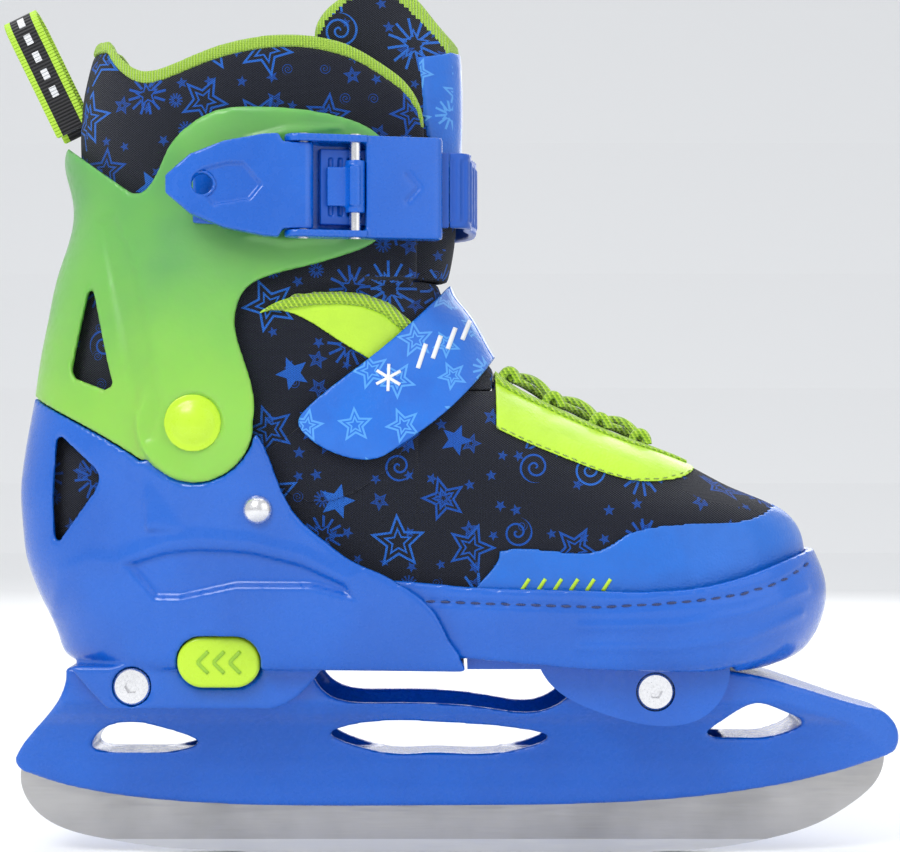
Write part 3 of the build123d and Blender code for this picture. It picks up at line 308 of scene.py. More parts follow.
@dataclass(frozen=True)
class PrintedCloth:
    """Coarse open weave with a star print."""

    name: str
    ground: Colour
    ink: Colour
    light_ink: Colour
    pitch: float = 0.00095

    def make(self) -> bpy.types.Material:
        """Build the material."""
        g = Graph(self.name)
        where = g.place(Coordinates.CLOTH)
        u, v, _ = g.node("SeparateXYZ", where).outputs
        warp = g.math("SINE", g.math("MULTIPLY", u, 2 * math.pi / self.pitch))
        weft = g.math("SINE", g.math("MULTIPLY", v, 2 * math.pi / (0.72 * self.pitch)))
        weave = g.math("MULTIPLY", warp, weft)
        grey = tuple(4.5 * c + 0.006 for c in self.ground)
        colour = g.blend(g.ramp(weave, 0.15, 0.95, 0.0, 0.75), self.ground, grey)
        large = StarField(0.0195, 0.42, 0.021, 3.1, (0.14, 0.66, 0.88)).mask(g, where)
        small = StarField(0.0088, 0.30, 0.030, 7.7, (0.62, 0.8, 0.9)).mask(g, where)
        scarce = g.math("GREATER_THAN", small[1], 0.3)
        hidden = g.ramp(weave, -1.0, -0.35, 0.35, 1.0)
        spare = g.math("MULTIPLY", small[0], g.math("MULTIPLY", scarce, 0.75))
        colour = g.blend(g.math("MULTIPLY", spare, hidden), colour, self.ink)
        tone = g.blend(g.ramp(large[1], 0.2, 0.8), self.ink, self.light_ink)
        colour = g.blend(g.math("MULTIPLY", large[0], hidden), colour, tone)
        g.set(Base_Color=colour, Roughness=0.85, Specular_IOR_Level=0.25)
        g.set(Sheen_Weight=0.12, Sheen_Roughness=0.5)
        g.set(Normal=g.bump(weave, 0.00022))
        return g.material


@dataclass(frozen=True)
class CoatedLeather:
    """Coated leather with a fine grain and, if asked, a pale star line print."""

    name: str
    colour: Colour
    shade: Colour
    print_colour: Colour = (0.0, 0.0, 0.0)
    printed: bool = False
    roughness: float = 0.34

    def make(self) -> bpy.types.Material:
        """Build the material."""
        g = Graph(self.name)
        where = g.place(Coordinates.CLOTH)
        grain = g.node("TexVoronoi", feature="SMOOTH_F1")
        g.put(grain.inputs["Vector"], where)
        g.put(grain.inputs["Scale"], 1500.0)
        crease = g.noise(where, 90.0, 4.0)
        colour = g.blend(g.ramp(crease, 0.3, 0.8), self.colour, self.shade)
        if self.printed:
            figures = StarField(0.0135, 0.39, 0.026, 1.3, (0.0, 0.75, 0.88)).mask(g, where)[0]
            colour = g.blend(g.math("MULTIPLY", figures, 0.72), colour, self.print_colour)
        g.set(Base_Color=colour, Coat_Weight=0.3, Coat_Roughness=0.2)
        g.set(Roughness=g.ramp(crease, 0.3, 0.7, self.roughness - 0.06, self.roughness + 0.12))
        fine = g.bump(grain.outputs["Distance"], 0.00012)
        g.set(Normal=g.bump(crease, 0.0006, fine))
        return g.material


@dataclass(frozen=True)
class Webbing:
    """Ribbed or knitted tape."""

    name: str
    colour: Colour
    shade: Colour
    pitch: float = 0.0016
    slant: float = 0.6

    def make(self) -> bpy.types.Material:
        """Build the material."""
        g = Graph(self.name)
        u, v, _ = g.node("SeparateXYZ", g.place(Coordinates.CLOTH)).outputs
        run = g.math("MULTIPLY_ADD", v, self.slant, u)
        rib = g.math("SINE", g.math("MULTIPLY", run, 2 * math.pi / self.pitch))
        cross = g.math("SINE", g.math("MULTIPLY", v, 2 * math.pi / (0.6 * self.pitch)))
        knit = g.math("MULTIPLY_ADD", cross, 0.35, rib)
        g.set(Base_Color=g.blend(g.ramp(knit, -1.0, 0.6), self.shade, self.colour))
        g.set(Roughness=0.8, Sheen_Weight=0.3, Sheen_Roughness=0.5)
        g.set(Normal=g.bump(knit, 0.0003))
        return g.material


@dataclass(frozen=True)
class EdgedTape:
    """Ribbed black tape with coloured edges and plain white dashes; it leans from a base point."""

    name: str
    colour: Colour
    edge: Colour
    base: tuple[float, float] = (-0.1212, 0.233)
    lean: float = math.radians(26.0)
    edge_from: float = 0.0036

    def make(self) -> bpy.types.Material:
        """Build the material."""
        g = Graph(self.name)
        x, _, z = g.node("SeparateXYZ", g.place(Coordinates.OBJECT)).outputs
        dx, dz = g.math("SUBTRACT", x, self.base[0]), g.math("SUBTRACT", z, self.base[1])
        c, s = math.cos(self.lean), math.sin(self.lean)
        across = g.math("ABSOLUTE", g.math("ADD", g.math("MULTIPLY", dx, c), g.math("MULTIPLY", dz, s)))
        up = g.math("SUBTRACT", g.math("MULTIPLY", dz, c), g.math("MULTIPLY", dx, s))
        rib = g.math("SINE", g.math("MULTIPLY", up, 2 * math.pi / 0.0011))
        dark = g.blend(g.ramp(rib, -0.6, 0.8), tuple(0.2 * k for k in self.colour), self.colour)
        dash = g.math("LESS_THAN", g.math("FRACT", g.math("DIVIDE", up, 0.0062)), 0.55)
        middle = g.math("MULTIPLY", dash, g.math("LESS_THAN", across, 0.0011))
        shown = g.math("MULTIPLY", middle, g.math("GREATER_THAN", up, 0.012))
        colour = g.blend(shown, dark, (0.85, 0.86, 0.88))
        g.set(Base_Color=g.blend(g.math("GREATER_THAN", across, self.edge_from), colour, self.edge))
        g.set(Roughness=0.8, Sheen_Weight=0.2, Normal=g.bump(rib, 0.00025))
        return g.material


@dataclass(frozen=True)
class Fleece:
    """Brushed lining, loop fleece or foam."""

    name: str
    colour: Colour
    shade: Colour
    scale: float = 1100.0

    def make(self) -> bpy.types.Material:
        """Build the material."""
        g = Graph(self.name)
        where = g.place(Coordinates.OBJECT)
        pile = g.noise(where, self.scale, 5.0)
        g.set(Base_Color=g.blend(g.ramp(pile, 0.3, 0.7), self.shade, self.colour))
        g.set(Roughness=0.92, Sheen_Weight=0.4, Sheen_Roughness=0.6)
        g.set(Normal=g.bump(pile, 0.0005))
        return g.material


BLUE = MouldedPlastic("blue_plastic", (0.0, 0.115, 0.58), (0.0, 0.095, 0.50), 0.27, 0.35)
STRAP_BLUE = MouldedPlastic("strap_plastic", (0.0, 0.085, 0.48), (0.0, 0.07, 0.40), 0.4, 0.1)
# The green cuff is painted lighter yellow-green below 150 mm, fading out by 215 mm: painted light glowing
# through the clear plastic.
GREEN = MouldedPlastic("green_clear_plastic", (0.17, 0.55, 0.12), (0.10, 0.40, 0.13), 0.33, 0.2, 0.25,
                       0.150, 0.215, (0.36, 0.78, 0.10))
LIME = MouldedPlastic("lime_plastic", (0.52, 0.80, 0.02), (0.45, 0.72, 0.02), 0.3, 0.3)
DARK_LIME = MouldedPlastic("dark_lime_plastic", (0.30, 0.58, 0.02), (0.28, 0.52, 0.02), 0.3, 0.3)
BLACK = MouldedPlastic("black_plastic", (0.015, 0.015, 0.018), (0.03, 0.03, 0.034), 0.5, 0.0)
BLADE_STEEL = Steel("ground_steel", (0.50, 0.49, 0.48), 0.36, 1.0, 0.0042)
BOLT_STEEL = Steel("plated_steel", (0.82, 0.82, 0.84), 0.2)
CLOTH = PrintedCloth("star_cloth", (0.006, 0.008, 0.016), (0.008, 0.10, 0.52), (0.02, 0.17, 0.72))
BLUE_LEATHER = CoatedLeather("blue_leather", (0.0, 0.14, 0.62), (0.0, 0.12, 0.54))
STAR_LEATHER = CoatedLeather("star_leather", (0.0, 0.15, 0.66), (0.0, 0.12, 0.58), (0.10, 0.40, 0.86), True)
LIME_LEATHER = CoatedLeather("lime_leather", (0.50, 0.80, 0.03), (0.44, 0.72, 0.03), roughness=0.42)
LIME_TAPE = Webbing("lime_tape", (0.52, 0.82, 0.04), (0.26, 0.50, 0.02))
LIME_CLOTH = Webbing("lime_cloth", (0.50, 0.82, 0.05), (0.34, 0.62, 0.03), 0.0009, 0.0)
LOOP_TAPE = EdgedTape("loop_tape", (0.02, 0.02, 0.024), (0.50, 0.82, 0.05))
FOAM = Fleece("foam", (0.06, 0.06, 0.07), (0.03, 0.03, 0.035), 700.0)
THREAD = Webbing("blue_thread", (0.0, 0.05, 0.34), (0.0, 0.03, 0.22), 0.0006, 1.0)
LIME_THREAD = Webbing("lime_thread", (0.62, 0.9, 0.15), (0.36, 0.6, 0.05), 0.0006, 1.0)
WHITE_PRINT = MouldedPlastic("white_print", (0.86, 0.88, 0.9), (0.8, 0.82, 0.85), 0.45, 0.0)
_MADE: dict[str, bpy.types.Material] = {}


Finish = Union[MouldedPlastic, Steel, PrintedCloth, CoatedLeather, Webbing, EdgedTape, Fleece]


def material(finish: Finish) -> bpy.types.Material:
    """The finish's material, built once."""
    if finish.name not in _MADE:
        _MADE[finish.name] = finish.make()
    return _MADE[finish.name]


# ------------------------------------------------------------------ meshes
def read_points(mesh: bpy.types.Mesh) -> np.ndarray:
    """Vertex positions as an (n, 3) array."""
    flat = np.empty(3 * len(mesh.vertices), np.float32)
    mesh.vertices.foreach_get("co", flat)
    return flat.reshape(-1, 3).astype(float)


def write_points(mesh: bpy.types.Mesh, points: np.ndarray) -> None:
    """Put vertex positions back."""
    mesh.vertices.foreach_set("co", points.astype(np.float32).ravel())
    mesh.update()


def normals(mesh: bpy.types.Mesh) -> np.ndarray:
    """Vertex normals as an (n, 3) array."""
    flat = np.empty(3 * len(mesh.vertices), np.float32)
    mesh.vertex_normals.foreach_get("vector", flat)
    return flat.reshape(-1, 3).astype(float)


def add(name: str, mesh: bpy.types.Mesh) -> bpy.types.Object:
    """Link a new object that holds the mesh."""
    made = bpy.data.objects.new(name, mesh)
    bpy.context.scene.collection.objects.link(made)
    return made


def baked(thing: bpy.types.Object) -> None:
    """Apply every modifier of an object."""
    graph = bpy.context.evaluated_depsgraph_get()
    mesh = bpy.data.meshes.new_from_object(thing.evaluated_get(graph))
    thing.modifiers.clear()
    thing.data = mesh


def cloth_map(thing: bpy.types.Object) -> None:
    """Box map in metres: each face takes the two axes that it faces across.

    Side faces read (x, z), front and back faces (y, z) and level faces (x, y).
    """
    mesh = thing.data
    points = read_points(mesh)
    corners = np.empty(len(mesh.loops), np.int32)
    mesh.loops.foreach_get("vertex_index", corners)
    facing = np.empty(3 * len(mesh.polygons), np.float32)
    mesh.polygons.foreach_get("normal", facing)
    facing = np.abs(facing.reshape(-1, 3)) * (0.75, 1.25, 0.9)
    sizes = np.empty(len(mesh.polygons), np.int32)
    mesh.polygons.foreach_get("loop_total", sizes)
    way = np.repeat(facing.argmax(1), sizes)
    p = points[corners]
    across = np.where(way == 0, p[:, 1] + 0.31, p[:, 0])
    up = np.where(way == 2, p[:, 1] + 0.17, p[:, 2])
    layer = mesh.uv_layers.get("cloth") or mesh.uv_layers.new(name="cloth")
    layer.data.foreach_set("uv", np.stack([across, up], 1).astype(np.float32).ravel())


def remade(
    name: str, nodes: Sequence[str], voxel: float, soften: int, swell: float = 0.0
) -> bpy.types.Object:
    """Copy mechanical nodes into one even, softly rounded mesh.

    Args:
        name: New piece's name.
        nodes: Nodes that the piece stands for.
        voxel: Grid size of the even mesh, in mm.
        soften: Smoothing passes.
        swell: Growth before meshing, in mm.
    Returns:
        The piece.
    """
    work = bmesh.new()
    for node in nodes:
        work.from_mesh(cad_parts[node].data)
    bmesh.ops.remove_doubles(work, verts=work.verts, dist=2e-6)
    mesh = bpy.data.meshes.new(name)
    work.to_mesh(mesh)
    work.free()
    thing = add(name, mesh)
    if swell:
        write_points(mesh, read_points(mesh) + swell * MM * normals(mesh))
    grid = thing.modifiers.new("even", "REMESH")
    grid.mode = "VOXEL"
    grid.voxel_size = voxel * MM
    grid.use_smooth_shade = True
    if soften:
        smooth = thing.modifiers.new("soften", "SMOOTH")
        smooth.factor = 0.5
        smooth.iterations = soften
    baked(thing)
    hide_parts(*nodes)
    return thing


def signed_distance(points: np.ndarray, outline: Outline) -> np.ndarray:
    """Distance in mm from side-view points to a closed outline, negative inside.

    The distance is the least over the outline's edges, and a point is inside when a level ray
    crosses an odd number of them.
    """
    ring = np.array(outline, float)
    start, stop = ring, np.roll(ring, -1, 0)
    edge = stop - start
    away = points[:, None, :] - start[None]
    share = np.clip((away * edge).sum(2) / (edge ** 2).sum(1), 0, 1)
    gap = np.linalg.norm(away - share[..., None] * edge, axis=2).min(1)
    spans = (start[:, 1] > points[:, 1:2]) != (stop[:, 1] > points[:, 1:2])
    rise = np.where(np.abs(edge[:, 1]) < 1e-9, 1e-9, edge[:, 1])
    reach = start[:, 0] + (points[:, 1:2] - start[:, 1]) * edge[:, 0] / rise
    inside = (spans & (points[:, :1] < reach)).sum(1) % 2 == 1
    return np.where(inside, -gap, gap)


def line_distance(points: np.ndarray, path: Outline) -> np.ndarray:
    """Distance in mm from side-view points to an open path of straight runs."""
    line = np.array(path, float)
    start, edge = line[:-1], np.diff(line, axis=0)
    away = points[:, None, :] - start[None]
    share = np.clip((away * edge).sum(2) / (edge ** 2).sum(1), 0, 1)
    return np.linalg.norm(away - share[..., None] * edge, axis=2).min(1)


def smoothstep(value: np.ndarray, low: float, high: float) -> np.ndarray:
    """Smooth step from 0 at low to 1 at high."""
    share = np.clip((value - low) / (high - low), 0, 1)
    return share * share * (3 - 2 * share)


@dataclass(frozen=True)
class Recess:
    """Sunk or raised field on both sides; a negative depth stands proud."""

    outline: Outline
    depth: float
    ramp: float = 1.4

    def lift(self, flat: np.ndarray) -> np.ndarray:
        """Outward move in mm: depth inside the outline, fading over the ramp at its edge."""
        return -self.depth * (1 - smoothstep(signed_distance(flat, self.outline), -self.ramp, 0.0))


@dataclass(frozen=True)
class Ridge:
    """Groove or rib along a side-view path; a negative depth is a rib."""

    path: Outline
    depth: float
    half: float

    def lift(self, flat: np.ndarray) -> np.ndarray:
        """Outward move in mm: a bell across the path, exp(-(d / half)^2)."""
        return -self.depth * np.exp(-(line_distance(flat, self.path) / self.half) ** 2)


def carve(thing: bpy.types.Object, details: Sequence[Recess | Ridge], sides: float = 0.3,
          only: int = 0, outer: float = 0.0) -> None:
    """Press details into the faces of a piece that look sideways outward.

    Args:
        thing: The piece.
        details: Fields and ribs in side-view mm.
        sides: Least sideways part of a normal that takes the detail.
        only: -1 or 1 for one side, 0 for both.
        outer: Least distance in mm from the middle plane.
    """
    points, facing = read_points(thing.data), normals(thing.data)
    flat = points[:, (0, 2)] / MM
    side = np.sign(points[:, 1])
    weight = smoothstep(facing[:, 1] * side, sides - 0.15, sides + 0.15)
    weight = weight * (np.abs(points[:, 1]) / MM > outer)
    if only:
        weight = weight * (side == only)
    lift = sum(detail.lift(flat) for detail in details)
    write_points(thing.data, points + (lift * weight * MM)[:, None] * facing)


def finished(thing: bpy.types.Object, finish: Finish, body: str) -> bpy.types.Object:
    """Dress a piece, map its cloth and give it its body."""
    thing.data.materials.clear()
    thing.data.materials.append(material(finish))
    thing.data.polygons.foreach_set("use_smooth", np.ones(len(thing.data.polygons), bool))
    cloth_map(thing)
    if body:
        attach(thing, body)
    LOG.info("%s: %d faces", thing.name, len(thing.data.polygons))
    return thing


def edged(
    thing: bpy.types.Object, finish: Finish, chosen: Callable[[np.ndarray], np.ndarray]
) -> None:
    """Give the faces whose centres are chosen a second finish.

    Args:
        thing: A finished piece.
        finish: The second finish.
        chosen: Takes face centres in metres, gives True where the second finish goes.
    """
    mesh = thing.data
    centres = np.empty(3 * len(mesh.polygons), np.float32)
    mesh.polygons.foreach_get("center", centres)
    mesh.materials.append(material(finish))
    index = chosen(centres.reshape(-1, 3).astype(float)).astype(np.int32)
    mesh.polygons.foreach_set("material_index", index)
    mesh.update()


def dress_node(node: str, finish: Finish) -> None:
    """Give a carried-over node a better finish, leaving its shape alone."""
    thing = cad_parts[node]
    if not thing.material_slots:
        thing.data.materials.append(None)
    for place in thing.material_slots:
        place.link = "OBJECT"
        place.material = material(finish)
    LOG.info("%s dressed as %s", node, finish.name)


class Skin:
    """Side-view projector onto finished pieces."""

    def __init__(self, *things: bpy.types.Object) -> None:
        """Collect the faces of the pieces that detail is laid on."""
        points, faces, base = [], [], 0
        for thing in things:
            mesh = thing.data
            points.extend(v.co for v in mesh.vertices)
            faces.extend([i + base for i in p.vertices] for p in mesh.polygons)
            base = len(points)
        self.tree = BVHTree.FromPolygons(points, faces)

    def on(self, flat: np.ndarray, side: int, proud: float) -> tuple[np.ndarray, np.ndarray]:
        """Drop side-view points onto the surface.

        Args:
            flat: Points (x, z) in mm.
            side: -1 for the outer side of the foot, 1 for the inner side.
            proud: Height over the surface in mm.
        Returns:
            Places in metres and outward normals.
        """
        places, outs = [], []
        for x, z in flat:
            hit, out, _, _ = self.tree.ray_cast(Vector((x * MM, side * 0.09, z * MM)), Vector((0, -side, 0)))
            if hit is None:
                hit, out, _, _ = self.tree.find_nearest(Vector((x * MM, side * 0.05, z * MM)))
            out = out if out[1] * side > 0 else -out
            places.append(hit + proud * MM * out)
            outs.append(out)
        return np.array(places), np.array(outs)


def along(path: Outline, pitch: float) -> tuple[np.ndarray, np.ndarray]:
    """Evenly spaced points and directions on a path of straight runs, in mm."""
    line = np.array(path, float)
    lengths = np.r_[0, np.linalg.norm(np.diff(line, axis=0), axis=1).cumsum()]
    count = max(2, int(round(lengths[-1] / pitch)) + 1)
    at = np.linspace(0, lengths[-1], count)
    points = np.stack([np.interp(at, lengths, line[:, 0]), np.interp(at, lengths, line[:, 1])], 1)
    ways = np.gradient(points, axis=0)
    return points, ways / np.linalg.norm(ways, axis=1)[:, None]


@dataclass
class Stitching:
    """Rows of short raised stitches laid on a surface."""

    name: str
    skin: Skin
    rows: Sequence[tuple[Outline, int]]
    pitch: float = 3.2
    length: float = 2.3
    radius: float = 0.28

    def build(self) -> bpy.types.Object:
        """Each stitch is an ellipsoid (cos u, sin u cos v, sin u sin v) scaled along the row."""
        down = np.linspace(0, math.pi, 6)[1:-1]
        about = np.linspace(0, 2 * math.pi, 6, endpoint=False)
        u, v = np.meshgrid(down, about, indexing="ij")
        body = np.stack([np.cos(u), np.sin(u) * np.cos(v), np.sin(u) * np.sin(v)], -1).reshape(-1, 3)
        body = np.vstack([body, [[1, 0, 0], [-1, 0, 0]]])
        rings, around = u.shape
        faces = [
            (i * around + j, i * around + k, (i + 1) * around + k, (i + 1) * around + j)
            for i in range(rings - 1)
            for j, k in ((j, (j + 1) % around) for j in range(around))
        ]
        top, bottom = rings * around, rings * around + 1
        faces += [(top, (j + 1) % around, j) for j in range(around)]
        last = (rings - 1) * around
        faces += [(bottom, last + j, last + (j + 1) % around) for j in range(around)]
        places, frames = [], []
        for path, side in self.rows:
            flat, way = along(path, self.pitch)
            at, out = self.skin.on(flat, side, 0.12)
            ahead, _ = self.skin.on(flat + 0.5 * way, side, 0.12)
            forward = ahead - at
            forward /= np.linalg.norm(forward, axis=1)[:, None] + 1e-12
            across = np.cross(out, forward)
            places.append(at)
            frames.append(np.stack([forward * self.length / 2, across * self.radius, out * self.radius], 1))
        at, turn = np.concatenate(places), np.concatenate(frames) * MM
        points = (np.einsum("vk,nkj->nvj", body, turn) + at[:, None]).reshape(-1, 3)
        step = len(body)
        all_faces = [tuple(i + n * step for i in face) for n in range(len(at)) for face in faces]
        mesh = bpy.data.meshes.new(self.name)
        mesh.from_pydata(points.tolist(), [], all_faces)
        thing = add(self.name, mesh)
        outward(thing)
        return thing


def outward(thing: bpy.types.Object) -> None:
    """Turn a closed mesh's faces outward."""
    work = bmesh.new()
    work.from_mesh(thing.data)
    bmesh.ops.recalc_face_normals(work, faces=work.faces)
    work.to_mesh(thing.data)
    work.free()


@dataclass
class Bars:
    """Flat raised bars, such as printed dashes, laid on a surface."""

    name: str
    skin: Skin
    bars: Sequence[tuple[Outline, float]]
    side: int = -1
    proud: float = 0.3

    def build(self) -> bpy.types.Object:
        """Each bar is a strip path(s) + t * half width * across, closed with a thin wall."""
        points, faces = [], []
        for path, width in self.bars:
            flat, way = along(path, 0.9)
            across = np.stack([-way[:, 1], way[:, 0]], 1) * width / 2
            rows = [self.skin.on(flat + t * across, self.side, self.proud)[0] for t in (-1, 0, 1)]
            low = [self.skin.on(flat + t * across, self.side, -0.25)[0] for t in (-1, 0, 1)]
            base, n = len(points), len(flat)
            points.extend(np.concatenate(rows + low).tolist())
            at = lambda layer, row, i: base + (layer * 3 + row) * n + i
            for i in range(n - 1):
                for row in (0, 1):
                    faces.append((at(0, row, i), at(0, row, i + 1), at(0, row + 1, i + 1), at(0, row + 1, i)))
                    faces.append((at(1, row, i), at(1, row + 1, i), at(1, row + 1, i + 1), at(1, row, i + 1)))
                for row, flip in ((0, False), (2, True)):
                    wall = (at(0, row, i), at(1, row, i), at(1, row, i + 1), at(0, row, i + 1))
                    faces.append(wall[::-1] if flip else wall)
            for i, flip in ((0, True), (n - 1, False)):
                for row in (0, 1):
                    wall = (at(0, row, i), at(1, row, i), at(1, row + 1, i), at(0, row + 1, i))
                    faces.append(wall[::-1] if flip else wall)
        mesh = bpy.data.meshes.new(self.name)
        mesh.from_pydata(points, [], faces)
        thing = add(self.name, mesh)
        outward(thing)
        return thing


@dataclass
class Tubes:
    """Round wires or laces carried along centre lines."""

    name: str
    radius: float

    def paths(self) -> list[np.ndarray]:
        """Centre lines in mm."""
        raise NotImplementedError

    def build(self) -> bpy.types.Object:
        """Carry a circle of ten points along each centre line, and close both ends with a fan."""
        ring = np.linspace(0, 2 * math.pi, 10, endpoint=False)
        points, faces = [], []
        for line in self.paths():
            way = np.gradient(line, axis=0)
            way /= np.linalg.norm(way, axis=1)[:, None]
            side = np.cross(way, (0.3, 0.2, 1.0))
            side /= np.linalg.norm(side, axis=1)[:, None]
            up = np.cross(side, way)
            turned = np.cos(ring)[None, :, None] * side[:, None] + np.sin(ring)[None, :, None] * up[:, None]
            tube = line[:, None] + self.radius * turned
            base, n, m = len(points), len(line), len(ring)
            points.extend(tube.reshape(-1, 3).tolist())
            points.extend([line[0].tolist(), line[-1].tolist()])
            i, j = np.meshgrid(np.arange(n - 1), np.arange(m), indexing="ij")
            quads = np.stack([i * m + j, i * m + (j + 1) % m, (i + 1) * m + (j + 1) % m, (i + 1) * m + j], -1)
            faces.extend((quads.reshape(-1, 4) + base).tolist())
            faces.extend([base + n * m, base + (k + 1) % m, base + k] for k in range(m))
            last = base + (n - 1) * m
            faces.extend([base + n * m + 1, last + k, last + (k + 1) % m] for k in range(m))
        mesh = bpy.data.meshes.new(self.name)
        mesh.from_pydata((np.array(points) * MM).tolist(), [], faces)
        thing = add(self.name, mesh)
        outward(thing)
        return thing


@dataclass
class Coil(Tubes):
    """Compression spring along Y."""

    centre: tuple[float, float] = (-64.0, 60.0)
    span: tuple[float, float] = (-29.8, -24.7)
    turns: int = 5
    coil: float = 1.6

    def paths(self) -> list[np.ndarray]:
        """Helix (x + r cos a, y rising with a, z + r sin a)."""
        turn = np.linspace(0, 2 * math.pi * self.turns, 24 * self.turns)
        y = np.linspace(self.span[0] + self.radius, self.span[1] - self.radius, len(turn))
        x = self.centre[0] + self.coil * np.cos(turn)
        return [np.stack([x, y, self.centre[1] + self.coil * np.sin(turn)], 1)]


@dataclass
class Lacing(Tubes):
    """Round laces that cross over the tongue, with a small loop at each row's ends."""

    rows: Sequence[tuple[float, float, float]] = (
        (19.0, 10.0, 153.6), (33.0, 9.4, 145.8), (48.0, 8.6, 139.0), (61.0, 6.6, 133.8))

    def paths(self) -> list[np.ndarray]:
        """Centre lines in mm: a crossing is a straight run plus a parabola 4 h t (1 - t) in height,
        and a loop is half an ellipse that stands up in the side view."""
        t = np.linspace(0, 1, 22)[:, None]
        rows, lines = np.array(self.rows), []
        for (x0, y0, z0), (x1, y1, z1) in zip(rows, rows[1:]):
            for side, rise in ((-1, 0.6), (1, 3.2)):
                start, stop = np.array([x0, side * y0, z0]), np.array([x1, -side * y1, z1])
                lines.append(start + (stop - start) * t + np.array([0.4, 0, 1]) * rise * 4 * t * (1 - t))
        turn = math.pi * t
        for x, y, z in rows:
            for side in (-1, 1):
                at = np.array([x, side * (y + 1.4), z - 1.6])
                lines.append(at + np.hstack([-2.6 * np.cos(turn), 0 * t, 3.9 * np.sin(turn)]))
        return lines


# ------------------------------------------------------------------ sub-assemblies
@dataclass
class Runner:
    """Steel blade, its holder and the screws."""

    voxel: float = 0.9

    def build(self) -> None:
        """Round the moulded holder and dress the steel."""
        holder = remade("holder_moulding", ["blade_holder"], self.voxel, 3)
        finished(holder, BLUE, ROOT)
        dress_node("blade", BLADE_STEEL)
        for node in ("rear_bolt", "front_bolt", "rear_nut", "front_nut", "rear_bolt_sleeve",
                     "front_bolt_sleeve", "shell_rivet_outer", "shell_rivet_inner"):
            dress_node(node, BOLT_STEEL)
        dress_node("sole_plate", BLUE)


@dataclass
class HeelCup:
    """Rear shell with the sunk scoops under the ankle."""

    scoop: Outline = ((-103, 95), (-100, 93.4), (-92, 84), (-84, 84), (-66, 88), (-43, 88), (-28, 84),
                      (-32, 90), (-46, 96), (-62, 99.8), (-78, 100.6), (-88, 99.6), (-97, 97))
    brow: Outline = ((-100, 97.5), (-88, 102), (-78, 103.2), (-62, 102.2), (-46, 98.3), (-32, 91.5))
    spine: Outline = ((-128, 74), (-122, 92), (-112, 96), (-103, 95))
    voxel: float = 0.9

    def build(self) -> bpy.types.Object:
        """Round the shell, sink the scoop and raise the brow over it."""
        shell = remade("heel_shell_moulding", ["heel_shell"], self.voxel, 3)
        ridges = [Ridge(self.brow, -0.6, 2.4), Ridge(self.spine, -0.4, 2.6)]
        carve(shell, [Recess(self.scoop, 1.9, 1.8), *ridges])
        return finished(shell, BLUE, ROOT)


@dataclass
class ToeCup:
    """Front shell with its stitched welt and stepped bumper."""

    groove: Outline = ((-6, 84), (28, 83), (46, 82.6), (64, 83.5), (78, 84.7), (90, 86.2),
                       (103, 89.6), (112.6, 94.2))
    ribs: Sequence[Outline] = (((40, 76.5), (70, 77), (92, 80.5), (112, 87)),
                               ((40, 70), (70, 70), (92, 73), (110, 79)))
    voxel: float = 0.9

    def build(self) -> bpy.types.Object:
        """Round the shell, cut the welt groove and step the bumper."""
        shell = remade("toe_shell_moulding", ["toe_shell"], self.voxel, 3)
        details = [Ridge(self.groove, 0.7, 0.9)] + [Ridge(rib, -0.55, 1.5) for rib in self.ribs]
        carve(shell, details, 0.1)
        finished(shell, BLUE, TOE)
        skin = Skin(shell)
        rows = [(self.groove, side) for side in (-1, 1)]
        welt = Stitching("welt_stitches", skin, rows, 4.6, 3.2, 0.42).build()
        finished(welt, THREAD, TOE)
        return shell


@dataclass
class AnkleCuff:
    """Hinged translucent cuff and its cap rivets."""

    upper: Outline = ((-66, 226), (-50, 230.5), (-34, 231.5), (-31, 229), (-44, 226.5), (-60, 224.8))
    lower: Outline = ((-66, 196), (-50, 193), (-34, 194.5), (-30, 198), (-44, 197), (-60, 198))
    cheek: Outline = ((-112, 203), (-104, 206), (-97, 190), (-90, 160), (-87, 145), (-90, 133), (-96, 131),
                      (-98, 142), (-100, 150), (-104, 170))
    voxel: float = 0.9

    def build(self) -> bpy.types.Object:
        """Round the cuff, raise its two crescents and sink its cheek."""
        cuff = remade("cuff_moulding", ["cuff"], self.voxel, 3, 0.15)
        crescents = [Recess(self.upper, -0.9, 1.6), Recess(self.lower, -0.9, 1.4)]
        carve(cuff, [*crescents, Recess(self.cheek, 0.7, 3.0)])
        finished(cuff, GREEN, CUFF)
        for side in ("outer", "inner"):
            cap = remade(f"pivot_cap_{side}", [f"pivot_rivet_{side}"], 0.45, 2)
            finished(cap, LIME, ROOT)
            dress_node(f"pivot_nut_{side}", BOLT_STEEL)
        return cuff


